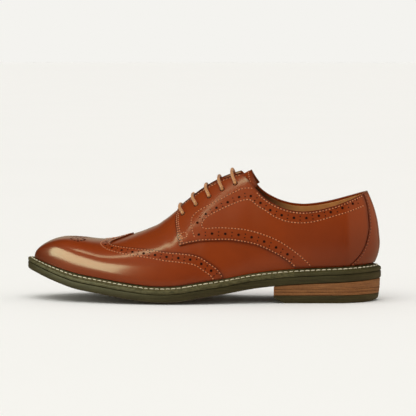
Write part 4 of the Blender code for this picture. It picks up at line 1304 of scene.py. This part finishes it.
def add_lift(number, low, high, wedge):
    """One lift: rings that round its edge, under a top that is level or a wedge."""
    layers, name = [], f"heel_lift_{number}"
    for inward, rise in ((0.00035, 0.0), (0.00008, 0.00025), (0.0, 0.0007)):
        layers.append(raised(heel_plan(low + rise, inward), low + rise))
    for inward, drop in ((0.0, 0.0006), (0.00008, 0.00025), (0.00035, 0.0)):
        plan = heel_plan(high, inward)
        top = outsole_foot(along_at(plan)) - GAP if wedge else high
        layers.append(raised(plan, top - drop))
    add_sheet(name, layers[::-1], STACKED, name)


level = TOP_LIFT
for number in range(LIFTS, 0, -1):
    add_lift(number, level + LIFT_JOINT, level + GAP + LIFT, number == 1)
    level += GAP + LIFT

foot = heel_plan(0.0)
along = along_at(foot)
behind = 1 + WELT_REACH / LAST_LENGTH - BACK_BEVEL_ALONG
back = np.clip((along - BACK_BEVEL_ALONG) / behind, 0, 1)
front = np.clip(1 - (along - BREAST) / FRONT_BEVEL_SHARE, 0, 1)
lifted = BACK_BEVEL * back**2 + FRONT_BEVEL * front
layers = [raised(heel_plan(TOP_LIFT, 0.0004), TOP_LIFT)]
layers += [raised(heel_plan(TOP_LIFT), TOP_LIFT - 0.0005)]
layers += [raised(foot, lifted + 0.0005), raised(heel_plan(0.0, 0.0005), lifted)]
add_sheet("top_lift", layers, RUBBER, "top_lift")


# Floor and light: a plain pale floor under one broad soft light from above. Two softboxes, one
# low beside the toe and one over the vamp, only draw gloss on the leather. The surroundings
# are pale to the camera, softer as a fill, and dim where the leather mirrors them.
SOFTBOX_DISTANCE, SOFTBOX_COLOUR = 1.5, (0.95, 1.0, 0.60)
SHOE_MIDDLE = (0.0, 0.0, 0.04)
FLOOR_REACH = 20
BACKDROP, FILL = (0.905, 0.896, 0.863), (0.64, 0.635, 0.615)
# What the leather mirrors: low down, then higher up, towards the heel and towards the inner
# side, each with the part of that direction at which it starts and at which it is full
MIRRORED_LOW = (0.34, 0.27, 0.18)
MIRRORED = (
    ("Z", -0.25, 0.0, (0.020, 0.015, 0.008)),
    ("X", 0.60, 0.72, (0.60, 0.44, 0.28)),
    ("Y", 0.80, 0.96, (0.45, 0.42, 0.31)),
)


def add_lamp(light, place, target):
    """A lamp at a place, turned towards its target."""
    lamp = bpy.data.objects.new(light.name, light)
    lamp.location = place
    lamp.rotation_euler = (Vector(place) - Vector(target)).to_track_quat("Z", "Y").to_euler()
    bpy.context.scene.collection.objects.link(lamp)
    return lamp


def add_softbox(name, azimuth, height, width, depth, power):
    """A rectangular light seen from the shoe at an azimuth from the outer side towards the
    toe and at a height over the floor, both in degrees."""
    a, e = np.radians(azimuth), np.radians(height)
    toward = np.array((-np.sin(a) * np.cos(e), -np.cos(a) * np.cos(e), np.sin(e)))
    light = bpy.data.lights.new(name, "AREA")
    light.shape, light.size, light.size_y = "RECTANGLE", width, depth
    light.energy, light.color = power, SOFTBOX_COLOUR
    add_lamp(light, SOFTBOX_DISTANCE * toward, SHOE_MIDDLE).visible_diffuse = False


def floor_material():
    material, tree, shader, place = new_material("studio_floor", 0.9, specular=0.1)
    soft = noise(tree, place, 3.0, 1.0)
    shade(tree, shader, blend_colours(tree, soft, (0.905, 0.897, 0.872), (0.92, 0.91, 0.885)))
    return material


ground = bpy.data.meshes.new("floor")
corners = [(x * FLOOR_REACH, y * FLOOR_REACH, 0) for x, y in ((-1, -1), (1, -1), (1, 1), (-1, 1))]
ground.from_pydata(corners, [], [(0, 1, 2, 3)])
ground.materials.append(floor_material())
floor = bpy.data.objects.new("floor", ground)
floor.visible_glossy = False
bpy.context.scene.collection.objects.link(floor)

world = bpy.data.worlds.new("studio")
world.use_nodes = True
sky = world.node_tree
rays = put(sky, "LightPath").outputs
away = put(sky, "SeparateXYZ", {0: put(sky, "TexCoord").outputs["Generated"]}).outputs
mirrored = MIRRORED_LOW
for axis, start, full, glow in MIRRORED:
    mirrored = blend_colours(sky, ramp_between(sky, away[axis], start, full), mirrored, glow)
dim = blend_colours(sky, rays["Is Glossy Ray"], FILL, mirrored)
sky_colour = blend_colours(sky, rays["Is Camera Ray"], dim, BACKDROP)
sky.links.new(sky_colour, sky.nodes["Background"].inputs["Color"])
bpy.context.scene.world = world
bpy.context.scene.view_settings.view_transform = "Standard"

broad = bpy.data.lights.new("broad_light", "SUN")
broad.energy, broad.angle = 1.27, np.radians(60.0)
add_lamp(broad, (-0.15, -0.30, 1.0), (0.0, 0.0, 0.0)).visible_glossy = False
add_softbox("toe_light", azimuth=58.0, height=22.0, width=1.60, depth=1.00, power=50.0)
add_softbox("vamp_light", azimuth=57.0, height=70.0, width=0.18, depth=0.44, power=1.9)
